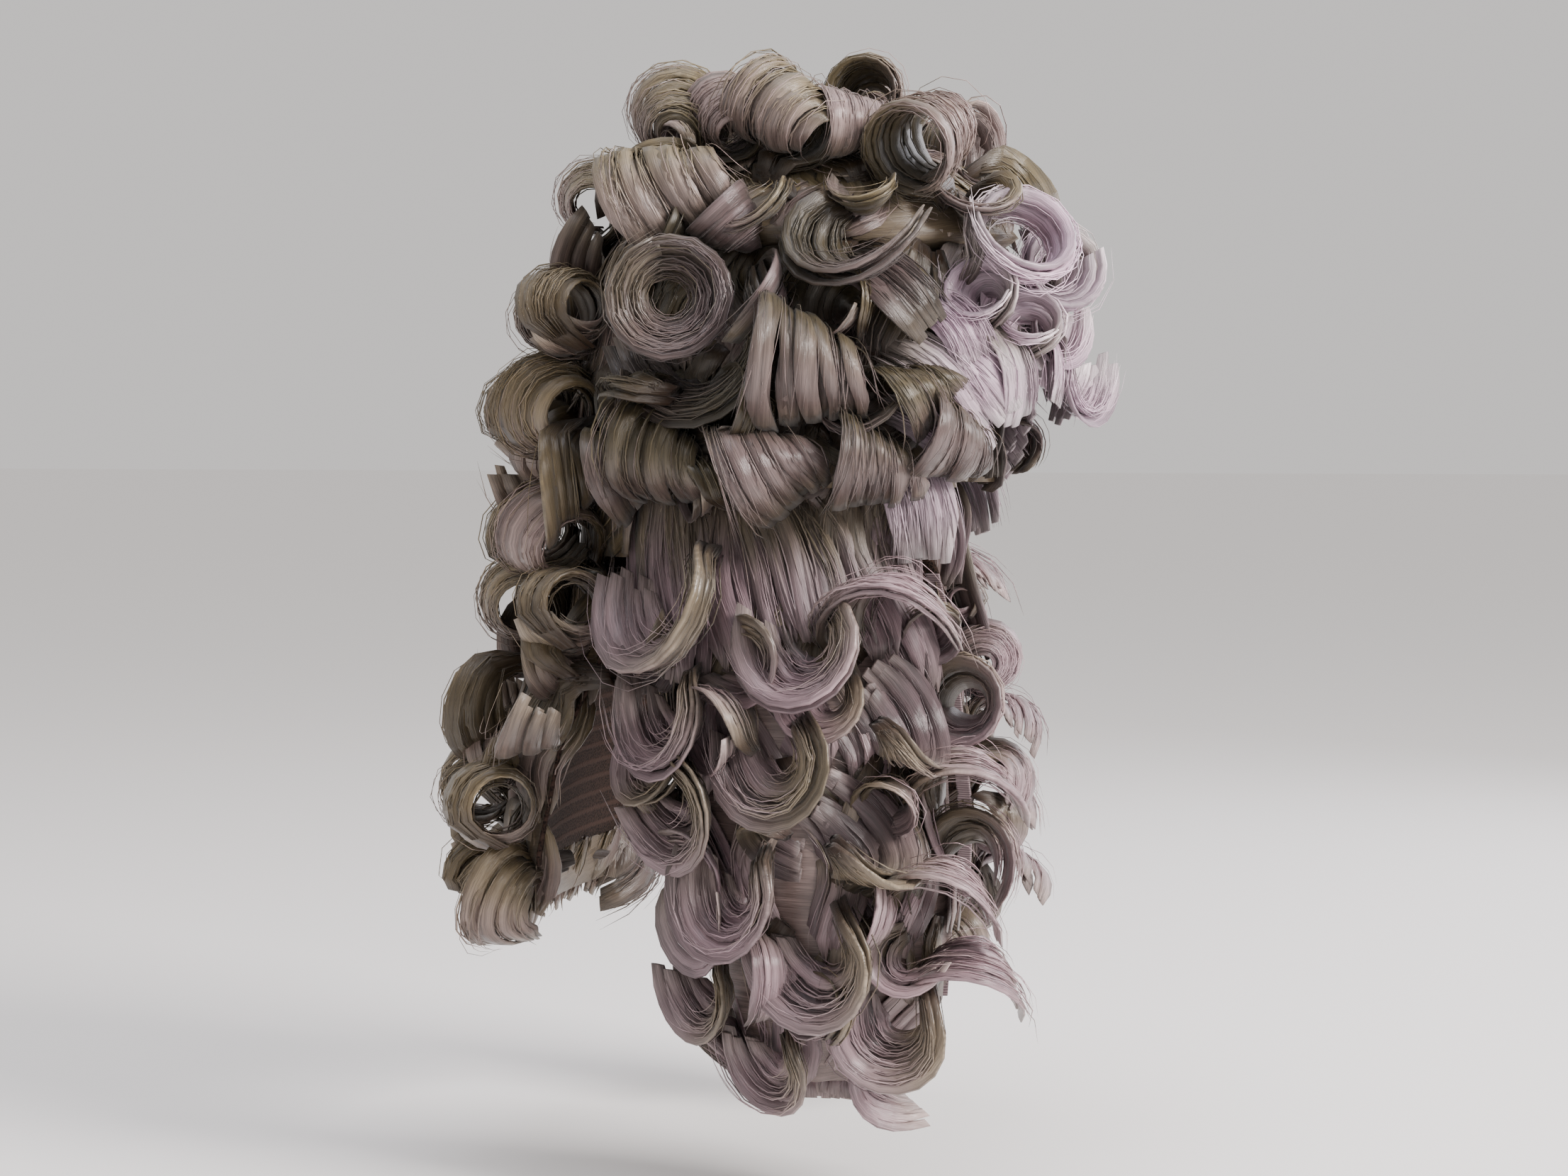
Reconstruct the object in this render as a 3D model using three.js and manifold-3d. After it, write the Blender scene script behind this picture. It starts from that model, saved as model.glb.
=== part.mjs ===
// A long full-bottomed powdered wig: a net cap with two front panels and a back panel,
// and the hair that is sewn to them in curled locks. Millimetres, +Z up. The wearer faces -Y,
// so the wearer's right is -X. The origin is the inside of the cap at the top of the head.

import * as THREE from 'three';
import Module from 'manifold-3d';

const wasm = await Module();
wasm.setup();

// The head that the cap fits
const HEAD_LENGTH = 200;
const HEAD_BREADTH = 158;
const HEAD_RISE = 95;

// Net foundation
const CAP_WALL = 1.8;
const PANEL_WALL = 2;
const TAPE_WIDTH = 9;
const TAPE_WALL = 1.4;

// Clearance between pieces that are made side by side, between locks that are cut clear of each
// other, and between the cap and the hair over it
const PIECE_GAP = 0.4;
const CUT_GAP = 0.3;
const HAIR_GAP = 1.3;

// Depth of the combed hair that lies over the foundation, under the curls
const CROWN_DEPTH = 32;
const SIDE_DEPTH = 23;
const BACK_DEPTH = 27;
const FRINGE_DEPTH = 20;
const STRAIGHT_DEPTH = 19;

// How low the cap reaches at the sides and at the back, in rises of the head below its top
const SIDE_LEVEL = 1.92;
const NAPE_LEVEL = 1.62;

// Hanging pieces: the two front lappets, the left one as shares of the right one, and the curtain
// down the back
const LAPPET_LENGTH = 262;
const LAPPET_WIDTH = 142;
const LAPPET_DEPTH = 46;
const LAPPET_OFFSET = 66;
const LEFT_LAPPET_REACH = { along: 0.86, down: 0.87 };
const CURTAIN_LENGTH = 216;
const CURTAIN_WIDTH = 180;
const CURTAIN_DEPTH = 30;
const CURTAIN_OFFSET = 92;

// Curls: outer radius where they are wound, width of the lock, thickness of the lock
const ROLL_RADIUS = 28;
const ROLL_WIDTH = 56;
const RING_RADIUS = 22;
const RING_WIDTH = 30;
const FAN_RADIUS = 20;
const FAN_WIDTH = 44;
const TUNNEL_RADIUS = 26;
const TUNNEL_WIDTH = 34;
const HOOK_RADIUS = 21;
const CURL_RADIUS = 17;
const CURL_WIDTH = 32;
const LOCK_RADIUS = 34;
const LOCK_WIDTH = 24;
const LOCK_THICKNESS = 7;

// Where each layer of hair lies: bearings round the head, in whole columns, and levels down it
const COLUMN = 15;
const TOP_LEVELS = [0.1, 0.28, 0.45, 0.62];
const FRINGE_REACH = { bearings: [-45, 45], levels: [0.62, 0.8, 1.02] };
const SIDE_REACH = { bearings: [45, 135], levels: [0.62, 0.8, 1, 1.6] };
const BACK_REACH = { bearings: [135, 225], levels: [0.62, 0.8, 1, 1.98] };
const STRAIGHT_REACH = { bearings: [60, 120], levels: [1.6, 2.13] };
const CAP_LOWER_SHARES = [0.14, 0.29, 1];
const CAP_TAPE_END = 45;

// Facets over the outside of the hanging hair; how far along a lock it is widest, how much thinner
// its tip is, and how far neighbours in a row are turned
const HANGING_SIDES = 6;
const SWELL_END = 0.4;
const TIP_THINNING = 0.3;
const ROW_TURN = 16;

const COLOURS = {
  net: 0x3a2a26, tape: 0x8a7778, crown: 0x9d968f, fringe: 0xb3a7b0, side: 0xa39b95,
  straight: 0x8f8084, lock: 0xa9a0a5, back: 0x928a80, lappet: 0xa598a0, curtain: 0x8b837c,
};

// Kinds of curl. radius, width and thick are the lock's own; start is where the lock leaves the hair
// under it, as a clock angle with 0 up and 90 toward the face; sweep is how far it winds; lean turns
// the curl's axis from straight out of the hair (0) to lying along it (90); lift is how far out its
// centre stands and sink how far its root is tucked in, in radii; cone splays the lock like a
// funnel; close winds it inward; root and tip are shares of its width.
const KINDS = {
  roll: { radius: ROLL_RADIUS, width: ROLL_WIDTH, thick: 14, start: -110, sweep: 300, lean: 88, lift: 0.86,
    sink: 0, cone: 4, close: 0.15, root: 0.8, tip: 0.85, steps: 7, sides: 4 },
  tunnel: { radius: TUNNEL_RADIUS, width: TUNNEL_WIDTH, thick: 15, start: -150, sweep: 335, lean: 16, lift: 0.48,
    sink: 0, cone: 30, close: 0.1, root: 0.75, tip: 0.8, steps: 7, sides: 6 },
  ring: { radius: RING_RADIUS, width: RING_WIDTH, thick: 11, start: -105, sweep: 285, lean: 60, lift: 0.82,
    sink: 0.4, cone: 8, close: 0.15, root: 0.8, tip: 0.85, steps: 5, sides: 4 },
  fan: { radius: FAN_RADIUS, width: FAN_WIDTH, thick: 11, start: -45, sweep: 210, lean: 86, lift: 0.66,
    sink: 0.35, cone: 4, close: 0.1, root: 0.6, tip: 1.1, steps: 5, sides: 4 },
  hook: { radius: HOOK_RADIUS, width: CURL_WIDTH, thick: 11, start: -50, sweep: -235, lean: 34, lift: 0.74,
    sink: 0, cone: 20, close: 0.1, root: 0.75, tip: 0.8, steps: 5, sides: 4 },
  cup: { radius: CURL_RADIUS, width: CURL_WIDTH, thick: 9, start: -50, sweep: 225, lean: 74, lift: 0.72,
    sink: 0.4, cone: 6, close: 0.1, root: 0.75, tip: 1, steps: 4, sides: 4 },
  lock: { radius: LOCK_RADIUS, width: LOCK_WIDTH, thick: LOCK_THICKNESS, start: 5, sweep: 105, lean: 80,
    lift: -0.45, sink: 0.1, cone: 0, close: 0.05, root: 0.8, tip: 1, steps: 4, sides: 4 },
};

// Big rolls over the top of the head: bearing from the face (0) round the wearer's right (90) to the back
const CROWN_CURLS = [
  { kind: 'roll', bearing: 153, level: 0.34, size: 0.98, turn: 14, hand: 1 },
  { kind: 'roll', bearing: 92, level: 0.34, size: 0.95, turn: 52, hand: 1 },
  { kind: 'roll', bearing: 45, level: 0.43, size: 1, turn: -24, hand: 1 },
  { kind: 'roll', bearing: 172, level: 0.58, size: 0.8, turn: 8, hand: 1 },
  { kind: 'fan', bearing: 122, level: 0.56, size: 1.25, turn: -24, hand: 1 },
  { kind: 'roll', bearing: -146, level: 0.38, size: 0.96, turn: 12, hand: 1 },
  { kind: 'roll', bearing: -88, level: 0.36, size: 1, turn: 44, hand: 1 },
  { kind: 'roll', bearing: -52, level: 0.41, size: 0.92, turn: -20, hand: 1 },
  { kind: 'fan', bearing: -120, level: 0.58, size: 1.2, turn: -26, hand: 1 },
  { kind: 'roll', bearing: 0, level: 0.12, size: 0.78, turn: 0, hand: 1 },
];

// Ring curls and short locks over the forehead
const FRINGE_CURLS = [
  { kind: 'tunnel', bearing: 27, level: 0.68, size: 1, turn: 8, hand: 1 },
  { kind: 'ring', bearing: 3, level: 0.74, size: 1.05, turn: -10, hand: -1 },
  { kind: 'tunnel', bearing: -25, level: 0.7, size: 0.94, turn: -8, hand: 1 },
  { kind: 'lock', bearing: 46, level: 0.94, size: 0.9, turn: -28, hand: 1 },
  { kind: 'lock', bearing: 33, level: 1.04, size: 1, turn: -10, hand: 1 },
  { kind: 'lock', bearing: 16, level: 1.02, size: 0.95, turn: 12, hand: 1 },
  { kind: 'hook', bearing: -4, level: 1.0, size: 0.95, turn: 0, hand: 1 },
  { kind: 'lock', bearing: -18, level: 1.04, size: 1, turn: -8, hand: 1 },
  { kind: 'hook', bearing: -33, level: 0.98, size: 1, turn: 10, hand: -1 },
  { kind: 'lock', bearing: -46, level: 1.0, size: 0.95, turn: 24, hand: 1 },
];

// The blunt-cut lock on each cheek, which hangs from under the curls beside the face
const CHEEK_LOCK = { kind: 'lock', bearing: 57, level: 1.79, size: 1.05, turn: -16, hand: 1 };
const CHEEK_LOCK_DEPTH = 6;

// One side of the head; the other side is its mirror
const SIDE_CURLS = [
  { kind: 'tunnel', bearing: 112, level: 0.84, size: 1.22, turn: 0, hand: 1 },
  { kind: 'fan', bearing: 84, level: 0.96, size: 1.32, turn: 6, hand: 1 },
  { kind: 'hook', bearing: 72, level: 0.68, size: 1.25, turn: 30, hand: 1 },
  { kind: 'lock', bearing: 62, level: 0.82, size: 1.15, turn: -46, hand: 1 },
  { kind: 'cup', bearing: 110, level: 1.14, size: 1.15, turn: -70, hand: 1 },
  { kind: 'fan', bearing: 60, level: 1.12, size: 0.9, turn: -22, hand: 1 },
  { kind: 'fan', bearing: 116, level: 1.42, size: 1.12, turn: 8, hand: 1 },
  { kind: 'fan', bearing: 91, level: 1.48, size: 1.1, turn: -14, hand: 1 },
  { kind: 'fan', bearing: 70, level: 1.46, size: 0.98, turn: 4, hand: 1 },
];

// Rows of ring curls on the back of the head, from one side round to the other
const BACK_ROWS = [
  { level: 0.86, from: 142, to: 218, count: 3, kind: 'ring', size: 1.1 },
  { level: 1.2, from: 150, to: 224, count: 3, kind: 'cup', size: 1.5 },
  { level: 1.54, from: 142, to: 218, count: 3, kind: 'ring', size: 1.15 },
  { level: 1.88, from: 150, to: 224, count: 3, kind: 'cup', size: 1.45 },
];

// Cross-sections of a lappet, as shares of its length, width, offset and depth. fore moves a section
// to the front, splay turns its back edge out, and bulge bows the panel behind the hair.
const LAPPET_SECTIONS = [
  { drop: 0, width: 0.62, fore: 0.045, inner: 1.04, splay: 0.035, bulge: 0.2, depth: 0.4 },
  { drop: 0.08, width: 0.8, fore: 0.035, inner: 0.98, splay: 0.07, bulge: 0.17, depth: 0.75 },
  { drop: 0.2, width: 0.94, fore: 0.03, inner: 0.94, splay: 0.13, bulge: 0.12, depth: 0.96 },
  { drop: 0.42, width: 0.96, fore: 0.07, inner: 0.95, splay: 0.17, bulge: 0.1, depth: 1 },
  { drop: 0.66, width: 0.86, fore: 0.155, inner: 1.05, splay: 0.17, bulge: 0.08, depth: 0.96 },
  { drop: 0.85, width: 0.8, fore: 0.165, inner: 1.1, splay: 0.14, bulge: 0.08, depth: 0.86 },
  { drop: 1, width: 0.45, fore: 0.12, inner: 1.2, splay: 0.08, bulge: 0.08, depth: 0.45 },
];
const LAPPET_PANEL_END = 0.85;
const LAPPET_HAIR_START = 0.08;

// Curls of one lappet; around runs from its front edge (0) over its outside (90) to its back edge (180)
const LAPPET_CURLS = [
  { kind: 'hook', around: 134, drop: 0.12, size: 1.55, turn: 0, hand: 1 },
  { kind: 'hook', around: 84, drop: 0.19, size: 1.2, turn: 0, hand: 1 },
  { kind: 'cup', around: 52, drop: 0.12, size: 1.35, turn: -48, hand: 1 },
  { kind: 'cup', around: 18, drop: 0.24, size: 1.05, turn: -14, hand: 1 },
  { kind: 'cup', around: 136, drop: 0.3, size: 1.25, turn: 34, hand: 1 },
  { kind: 'hook', around: 56, drop: 0.33, size: 1.1, turn: -12, hand: 1 },
  { kind: 'cup', around: 96, drop: 0.38, size: 1.15, turn: 24, hand: 1 },
  { kind: 'cup', around: 28, drop: 0.44, size: 1.25, turn: -62, hand: 1 },
  { kind: 'hook', around: 142, drop: 0.45, size: 1.25, turn: 0, hand: 1 },
  { kind: 'cup', around: 78, drop: 0.53, size: 1.3, turn: -30, hand: 1 },
  { kind: 'ring', around: 10, drop: 0.58, size: 0.85, turn: 0, hand: 1 },
  { kind: 'cup', around: 130, drop: 0.62, size: 1.15, turn: 26, hand: 1 },
  { kind: 'cup', around: 46, drop: 0.64, size: 1.2, turn: -50, hand: 1 },
  { kind: 'hook', around: 92, drop: 0.72, size: 1.2, turn: 0, hand: 1 },
  { kind: 'ring', around: 148, drop: 0.82, size: 0.9, turn: 0, hand: 1 },
  { kind: 'cup', around: 26, drop: 0.8, size: 1.25, turn: -66, hand: 1 },
  { kind: 'cup', around: 64, drop: 0.87, size: 1.25, turn: -40, hand: 1 },
  { kind: 'fan', around: 116, drop: 0.98, size: 0.95, turn: 0, hand: 1 },
];

// Cross-sections of the curtain, with the same columns
const CURTAIN_SECTIONS = [
  { drop: 0, width: 0.58, inner: 0.84, bulge: 0.8, depth: 0.9 },
  { drop: 0.2, width: 0.78, inner: 0.89, bulge: 0.73, depth: 1 },
  { drop: 0.35, width: 0.94, inner: 1, bulge: 0.6, depth: 1 },
  { drop: 0.6, width: 1.02, inner: 1.26, bulge: 0.4, depth: 0.95 },
  { drop: 0.85, width: 1, inner: 1.39, bulge: 0.27, depth: 0.85 },
  { drop: 1, width: 0.82, inner: 1.45, bulge: 0.2, depth: 0.5 },
];
const CURTAIN_PANEL_END = 0.88;
const CURTAIN_HAIR_START = 0.2;
const CURTAIN_ROWS = [
  { drop: 0.28, from: 30, to: 150, count: 3, kind: 'ring', size: 1.2 },
  { drop: 0.51, from: 12, to: 168, count: 4, kind: 'cup', size: 1.35 },
  { drop: 0.74, from: 34, to: 146, count: 3, kind: 'ring', size: 1 },
  { drop: 0.96, from: 14, to: 166, count: 4, kind: 'cup', size: 1.25 },
];

// How low the cap reaches, by bearing
const CAP_EDGE = [
  { bearing: 0, level: 0.8 }, { bearing: 34, level: 0.86 }, { bearing: 50, level: 1.1 },
  { bearing: 60, level: SIDE_LEVEL }, { bearing: 112, level: SIDE_LEVEL }, { bearing: 140, level: NAPE_LEVEL },
  { bearing: 180, level: NAPE_LEVEL },
];

const rad = THREE.MathUtils.degToRad;
const vec = (x, y, z) => new THREE.Vector3(x, y, z);

// Value of one column of a table, read between its rows
function between(table, key, column, at) {
  const last = table.length - 1;
  let k = 0;
  while (k < last - 1 && table[k + 1][key] < at) k += 1;
  const a = table[k];
  const b = table[k + 1];
  const share = THREE.MathUtils.clamp((at - a[key]) / (b[key] - a[key]), 0, 1);
  return a[column] + (b[column] - a[column]) * share;
}

// A point on the head, or `out` away from it: a dome to the widest line, then straight down
function onHead(bearing, level, out) {
  const across = HEAD_BREADTH / 2 + out;
  const along = HEAD_LENGTH / 2 + out;
  const arc = (Math.min(level, 1) * Math.PI) / 2;
  const ring = Math.sin(arc);
  const z = level < 1 ? (HEAD_RISE + out) * Math.cos(arc) - HEAD_RISE : -HEAD_RISE * level;
  return vec(-across * Math.sin(rad(bearing)) * ring, -along * Math.cos(rad(bearing)) * ring, z);
}

// The carrying line of a hanging piece at a share of its drop: its two ends, how far it bows
// outward, and how deep the hair on it is
function lappetLine(drop) {
  const at = (column) => between(LAPPET_SECTIONS, 'drop', column, drop);
  const half = (LAPPET_WIDTH * at('width')) / 2;
  const inner = LAPPET_OFFSET * at('inner');
  const middle = -LAPPET_WIDTH * at('fore');
  return {
    first: vec(-inner, middle - half, 0),
    last: vec(-inner - LAPPET_WIDTH * at('splay'), middle + half, 0),
    bulge: LAPPET_DEPTH * at('bulge'),
    depth: LAPPET_DEPTH * at('depth'),
    z: -HEAD_RISE * SIDE_LEVEL - PIECE_GAP - LAPPET_LENGTH * drop,
  };
}

function curtainLine(drop) {
  const at = (column) => between(CURTAIN_SECTIONS, 'drop', column, drop);
  const half = (CURTAIN_WIDTH * at('width')) / 2;
  const y = CURTAIN_OFFSET * at('inner');
  return {
    first: vec(-half, y, 0),
    last: vec(half, y, 0),
    bulge: CURTAIN_DEPTH * at('bulge'),
    depth: CURTAIN_DEPTH * at('depth'),
    z: -HEAD_RISE * NAPE_LEVEL - PIECE_GAP - CURTAIN_LENGTH * drop,
  };
}

// A point `out` outside the carrying line, at a share of the way along it
function onLine(line, share, out) {
  const chord = line.last.clone().sub(line.first);
  const outward = vec(chord.y, -chord.x, 0).normalize();
  if (outward.dot(line.first.clone().add(line.last)) < 0) outward.negate();
  const point = line.first.clone().addScaledVector(chord, share);
  point.addScaledVector(outward, line.bulge * Math.sin(Math.PI * share) + out);
  return point.setZ(line.z);
}

// A point on the round outside of the hair that hangs on a line: around runs from 0 to 180
function onHair(line, around, out) {
  const share = (1 - Math.cos(rad(around))) / 2;
  const point = onLine(line, share, (line.depth + out) * Math.sin(rad(around)));
  const chord = line.last.clone().sub(line.first).normalize();
  return point.addScaledVector(chord, -out * Math.cos(rad(around)));
}

const onLappet = (around, drop, out) => onHair(lappetLine(drop), around, out);
const onCurtain = (around, drop, out) => onHair(curtainLine(drop), around, out);

// Directions at one place of a surface: down it, sideways toward where `across` is less, and out of it
function axesAt(surface, across, down, out) {
  const here = surface(across, down, out);
  const low = surface(across, down + 0.02, out).sub(surface(across, down - 0.02, out)).normalize();
  const flank = surface(across - 1, down, out).sub(surface(across + 1, down, out)).normalize();
  const normal = flank.clone().cross(low).normalize();
  if (normal.dot(surface(across, down, out + 1).sub(here)) < 0) normal.negate();
  const side = low.clone().cross(normal).normalize();
  if (side.dot(flank) < 0) side.negate();
  return { here, low, side, normal };
}

// A solid from points and faces, turned so that its faces point out
function solidOf(points, faces) {
  let volume = 0;
  for (let k = 0; k < faces.length; k += 3) {
    const [a, b, c] = [points[faces[k]], points[faces[k + 1]], points[faces[k + 2]]];
    volume += a.dot(b.clone().cross(c));
  }
  if (volume < 0) faces.reverse();
  const vertProperties = new Float32Array(points.flatMap((p) => [p.x, p.y, p.z]));
  return new wasm.Manifold(new wasm.Mesh({ numProp: 3, vertProperties, triVerts: new Uint32Array(faces) }));
}

// A closed solid through a row of outlines that all have the same even number of points.
// Each end is closed by faces between the outline's two sides.
function loft(outlines) {
  const count = outlines[0].length;
  const faces = [];
  for (let row = 0; row < outlines.length - 1; row += 1) {
    for (let k = 0; k < count; k += 1) {
      const a = row * count + k;
      const b = row * count + ((k + 1) % count);
      faces.push(a, b, b + count, a, b + count, a + count);
    }
  }
  const end = (outlines.length - 1) * count;
  for (let k = 0; k < count / 2 - 1; k += 1) {
    const m = count - 1 - k;
    faces.push(k, m - 1, k + 1, k, m, m - 1);
    faces.push(end + k, end + k + 1, end + m - 1, end + k, end + m - 1, end + m);
  }
  return solidOf(outlines.flat(), faces);
}

const steps = (from, to, count) => Array.from({ length: count + 1 }, (_, k) => from + ((to - from) * k) / count);

// The outline of a lock where it is cut across: flat with eased edges
function lens(centre, wide, thin, halfWidth, halfThick, sides) {
  const reach = 1 / Math.cos(Math.PI / sides);
  return Array.from({ length: sides }, (_, k) => {
    const angle = ((k + 0.5) / sides) * 2 * Math.PI;
    return centre.clone().addScaledVector(wide, halfWidth * reach * Math.cos(angle))
      .addScaledVector(thin, halfThick * reach * Math.sin(angle));
  });
}

// One curled lock. grow widens it all round, to cut its room out of its neighbours.
function curl(surface, depth, row, across, down, mirrored, grow) {
  const kind = KINDS[row.kind];
  const radius = kind.radius * row.size;
  const { here, low, side, normal } = axesAt(surface, across, down, depth + kind.lift * radius);
  const turn = rad(row.turn);
  const up = low.clone().multiplyScalar(-Math.cos(turn)).addScaledVector(side, Math.sin(turn));
  const flank = side.clone().multiplyScalar(Math.cos(turn)).addScaledVector(low, Math.sin(turn));
  const lean = rad(kind.lean);
  const reach = flank.clone().multiplyScalar(Math.cos(lean)).addScaledVector(normal, Math.sin(lean));
  const axle = normal.clone().multiplyScalar(Math.cos(lean)).addScaledVector(flank, -Math.sin(lean));
  const cone = rad(kind.cone);
  const spare = grow / (radius * rad(Math.abs(kind.sweep)));
  const outlines = steps(0, 1, kind.steps).map((station, step) => {
    const share = station + spare * (Number(step === kind.steps) - Number(step === 0));
    const angle = rad(kind.start + kind.sweep * share) * row.hand;
    const radial = reach.clone().multiplyScalar(Math.sin(angle)).addScaledVector(up, Math.cos(angle));
    const arm = radius * (1 - kind.close * share) - (kind.thick * row.size) / 2;
    const centre = here.clone().addScaledVector(radial, arm);
    if (step === 0) centre.addScaledVector(normal, -kind.sink * radius);
    const wide = axle.clone().multiplyScalar(Math.cos(cone)).addScaledVector(radial, Math.sin(cone));
    const thin = radial.clone().multiplyScalar(Math.cos(cone)).addScaledVector(axle, -Math.sin(cone));
    const swell = share < SWELL_END ? kind.root + (1 - kind.root) * Math.sin((share / SWELL_END) * (Math.PI / 2))
      : 1 + ((kind.tip - 1) * (share - SWELL_END)) / (1 - SWELL_END);
    const halfWidth = (kind.width * row.size * swell) / 2 + grow;
    const halfThick = ((kind.thick * row.size) / 2) * (1 - TIP_THINNING * share) + grow;
    return lens(centre, wide, thin, halfWidth, halfThick, kind.sides);
  });
  if (mirrored) outlines.flat().forEach((point) => point.setX(-point.x));
  return loft(outlines);
}

// Levels of a layer, less a seam at its top and bottom where the next layer starts
function seamed(levels, grow) {
  const seam = (PIECE_GAP / 2 - grow) / HEAD_RISE;
  return levels.map((level, k) => {
    if (k === 0) return level + seam;
    return k === levels.length - 1 ? level - seam : level;
  });
}

// Part of a layer over the head, from one bearing and level to another
function layer(reach, inner, outer, grow) {
  const seam = THREE.MathUtils.radToDeg(PIECE_GAP / 2 - grow) / (HEAD_BREADTH / 2);
  const columns = steps(reach.bearings[0], reach.bearings[1], (reach.bearings[1] - reach.bearings[0]) / COLUMN);
  columns[0] += seam;
  columns[columns.length - 1] -= seam;
  const levels = seamed(reach.levels, grow);
  return loft(columns.map((bearing) => [
    ...levels.map((level) => onHead(bearing, level, outer + grow)),
    ...levels.map((level) => onHead(bearing, level, inner - grow)).reverse(),
  ]));
}

// A layer right round the head, closed over the top. levelsAt gives its levels at a bearing.
function dome(levelsAt, inner, outer, grow) {
  const columns = steps(0, 360 - COLUMN, 360 / COLUMN - 1);
  const levels = columns.map(levelsAt);
  const ringAt = (row, depth) => columns.map((bearing, k) => onHead(bearing, levels[k][row], depth));
  const rows = levels[0].map((_, row) => row);
  return loft([
    ...rows.map((row) => ringAt(row, outer + grow)),
    ...rows.map((row) => ringAt(row, inner - grow)).reverse(),
  ]);
}

// The hair under the curls of a hanging piece
function hangingHair(lineAt, drops, sides, grow) {
  const arcs = steps(0, 180, sides);
  return loft(drops.map((drop, k) => {
    const line = lineAt(drop);
    if (k === 0) line.z += grow;
    if (k === drops.length - 1) line.z -= grow;
    return [
      ...arcs.map((around) => onHair(line, around, grow)),
      ...arcs.map((around) => onLine(line, (1 - Math.cos(rad(around))) / 2, -grow)).reverse(),
    ];
  }));
}

// The net panel behind it, a little way in from its carrying line
function panel(lineAt, drops, columns, grow) {
  const shares = steps(0, 1, columns);
  return loft(drops.map((drop, k) => {
    const line = lineAt(drop);
    if (k === 0) line.z += grow;
    if (k === drops.length - 1) line.z -= grow;
    return [
      ...shares.map((share) => onLine(line, share, grow - PIECE_GAP)),
      ...shares.map((share) => onLine(line, share, -PIECE_GAP - PANEL_WALL - grow)).reverse(),
    ];
  }));
}

// A tape folded over an edge: `across` gives a point at so far onto the piece and so far out of it
function foldedTape(stations, pointAt, wall, grow) {
  const width = TAPE_WIDTH + grow;
  const fold = (station, gap) => [
    pointAt(station, width, wall + gap), pointAt(station, -gap, wall + gap),
    pointAt(station, -gap, -gap), pointAt(station, width, -gap),
  ];
  return loft(stations.map((station) => [
    ...fold(station, PIECE_GAP + TAPE_WALL + grow),
    ...fold(station, PIECE_GAP - grow).reverse(),
  ]));
}

const capEdgeAt = (bearing) => between(CAP_EDGE, 'bearing', 'level', bearing > 180 ? 360 - bearing : bearing);

function capLevelsAt(bearing, grow) {
  const last = TOP_LEVELS[TOP_LEVELS.length - 1];
  const edge = capEdgeAt(bearing) + grow / HEAD_RISE;
  return [...TOP_LEVELS, ...CAP_LOWER_SHARES.map((share) => last + (edge - last) * share)];
}

function capTapePoint(bearing, onto, out) {
  return onHead(bearing, capEdgeAt(Math.abs(bearing)) - onto / HEAD_RISE, out);
}

function panelTapePoint(drop, onto, out) {
  const line = lappetLine(drop);
  return onLine(line, onto / line.last.distanceTo(line.first), out - PIECE_GAP - PANEL_WALL);
}

// The biggest connected body of a solid
function wholePiece(solid) {
  return solid.decompose().reduce((best, body) => (body.volume() > best.volume() ? body : best));
}

const fuse = (solids) => solids.reduce((all, one) => all.add(one));

const mirror = (solid) => solid.mirror([1, 0, 0]);

// A solid of the right lappet as the smaller left one, drawn in from the lappet's top
function leftLappet(solid) {
  const top = -HEAD_RISE * SIDE_LEVEL;
  return mirror(solid).translate([0, 0, -top])
    .scale([1, LEFT_LAPPET_REACH.along, LEFT_LAPPET_REACH.down]).translate([0, 0, top]);
}

// Curls of a table on the head, with a negative bearing on the wearer's left
const headCurls = (rows, depth, grow) => rows.map((row) => (
  curl(onHead, depth, row, Math.abs(row.bearing), row.level, row.bearing < 0, grow)));

// Rows of curls as a table of curls, turned to and fro
function rowsToCurls(rows, along, down) {
  return rows.flatMap((row, r) => steps(row.from, row.to, row.count - 1).map((at, k) => ({
    kind: row.kind,
    size: row.size,
    turn: (r + k) % 2 ? ROW_TURN : -ROW_TURN,
    hand: (r + k) % 2 ? 1 : -1,
    [along]: at > 180 && along === 'bearing' ? at - 360 : at,
    [down]: row[down],
  })));
}

const group = new THREE.Group();
let taken = null;

// Puts a piece in the group, less the room that the pieces before it have taken
function place(name, colour, roughness, build) {
  const solid = taken ? wholePiece(build(0).subtract(taken)) : build(0);
  const room = build(CUT_GAP);
  taken = taken ? taken.add(room) : room;
  const mesh = solid.getMesh();
  const geometry = new THREE.BufferGeometry();
  geometry.setAttribute('position', new THREE.BufferAttribute(new Float32Array(mesh.vertProperties), 3));
  geometry.setIndex(new THREE.BufferAttribute(new Uint32Array(mesh.triVerts), 1));
  const piece = new THREE.Mesh(geometry, new THREE.MeshStandardMaterial({ color: colour, roughness, metalness: 0 }));
  piece.name = name;
  group.add(piece);
}

// The same piece on both sides: the wearer's right as it is built, the left from its mirror
function placePair(name, colour, roughness, build, left = mirror) {
  place(`right_${name}`, colour, roughness, build);
  place(`left_${name}`, colour, roughness, (grow) => left(build(grow)));
}

// Net foundation and its tapes
const lappetDrops = LAPPET_SECTIONS.map((row) => row.drop);
const panelDrops = lappetDrops.filter((drop) => drop <= LAPPET_PANEL_END);
const hairDrops = lappetDrops.filter((drop) => drop >= LAPPET_HAIR_START);
const curtainDrops = CURTAIN_SECTIONS.map((row) => row.drop);
const backPanelDrops = [...curtainDrops.filter((drop) => drop < CURTAIN_PANEL_END), CURTAIN_PANEL_END];
const curtainHairDrops = curtainDrops.filter((drop) => drop >= CURTAIN_HAIR_START);

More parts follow.
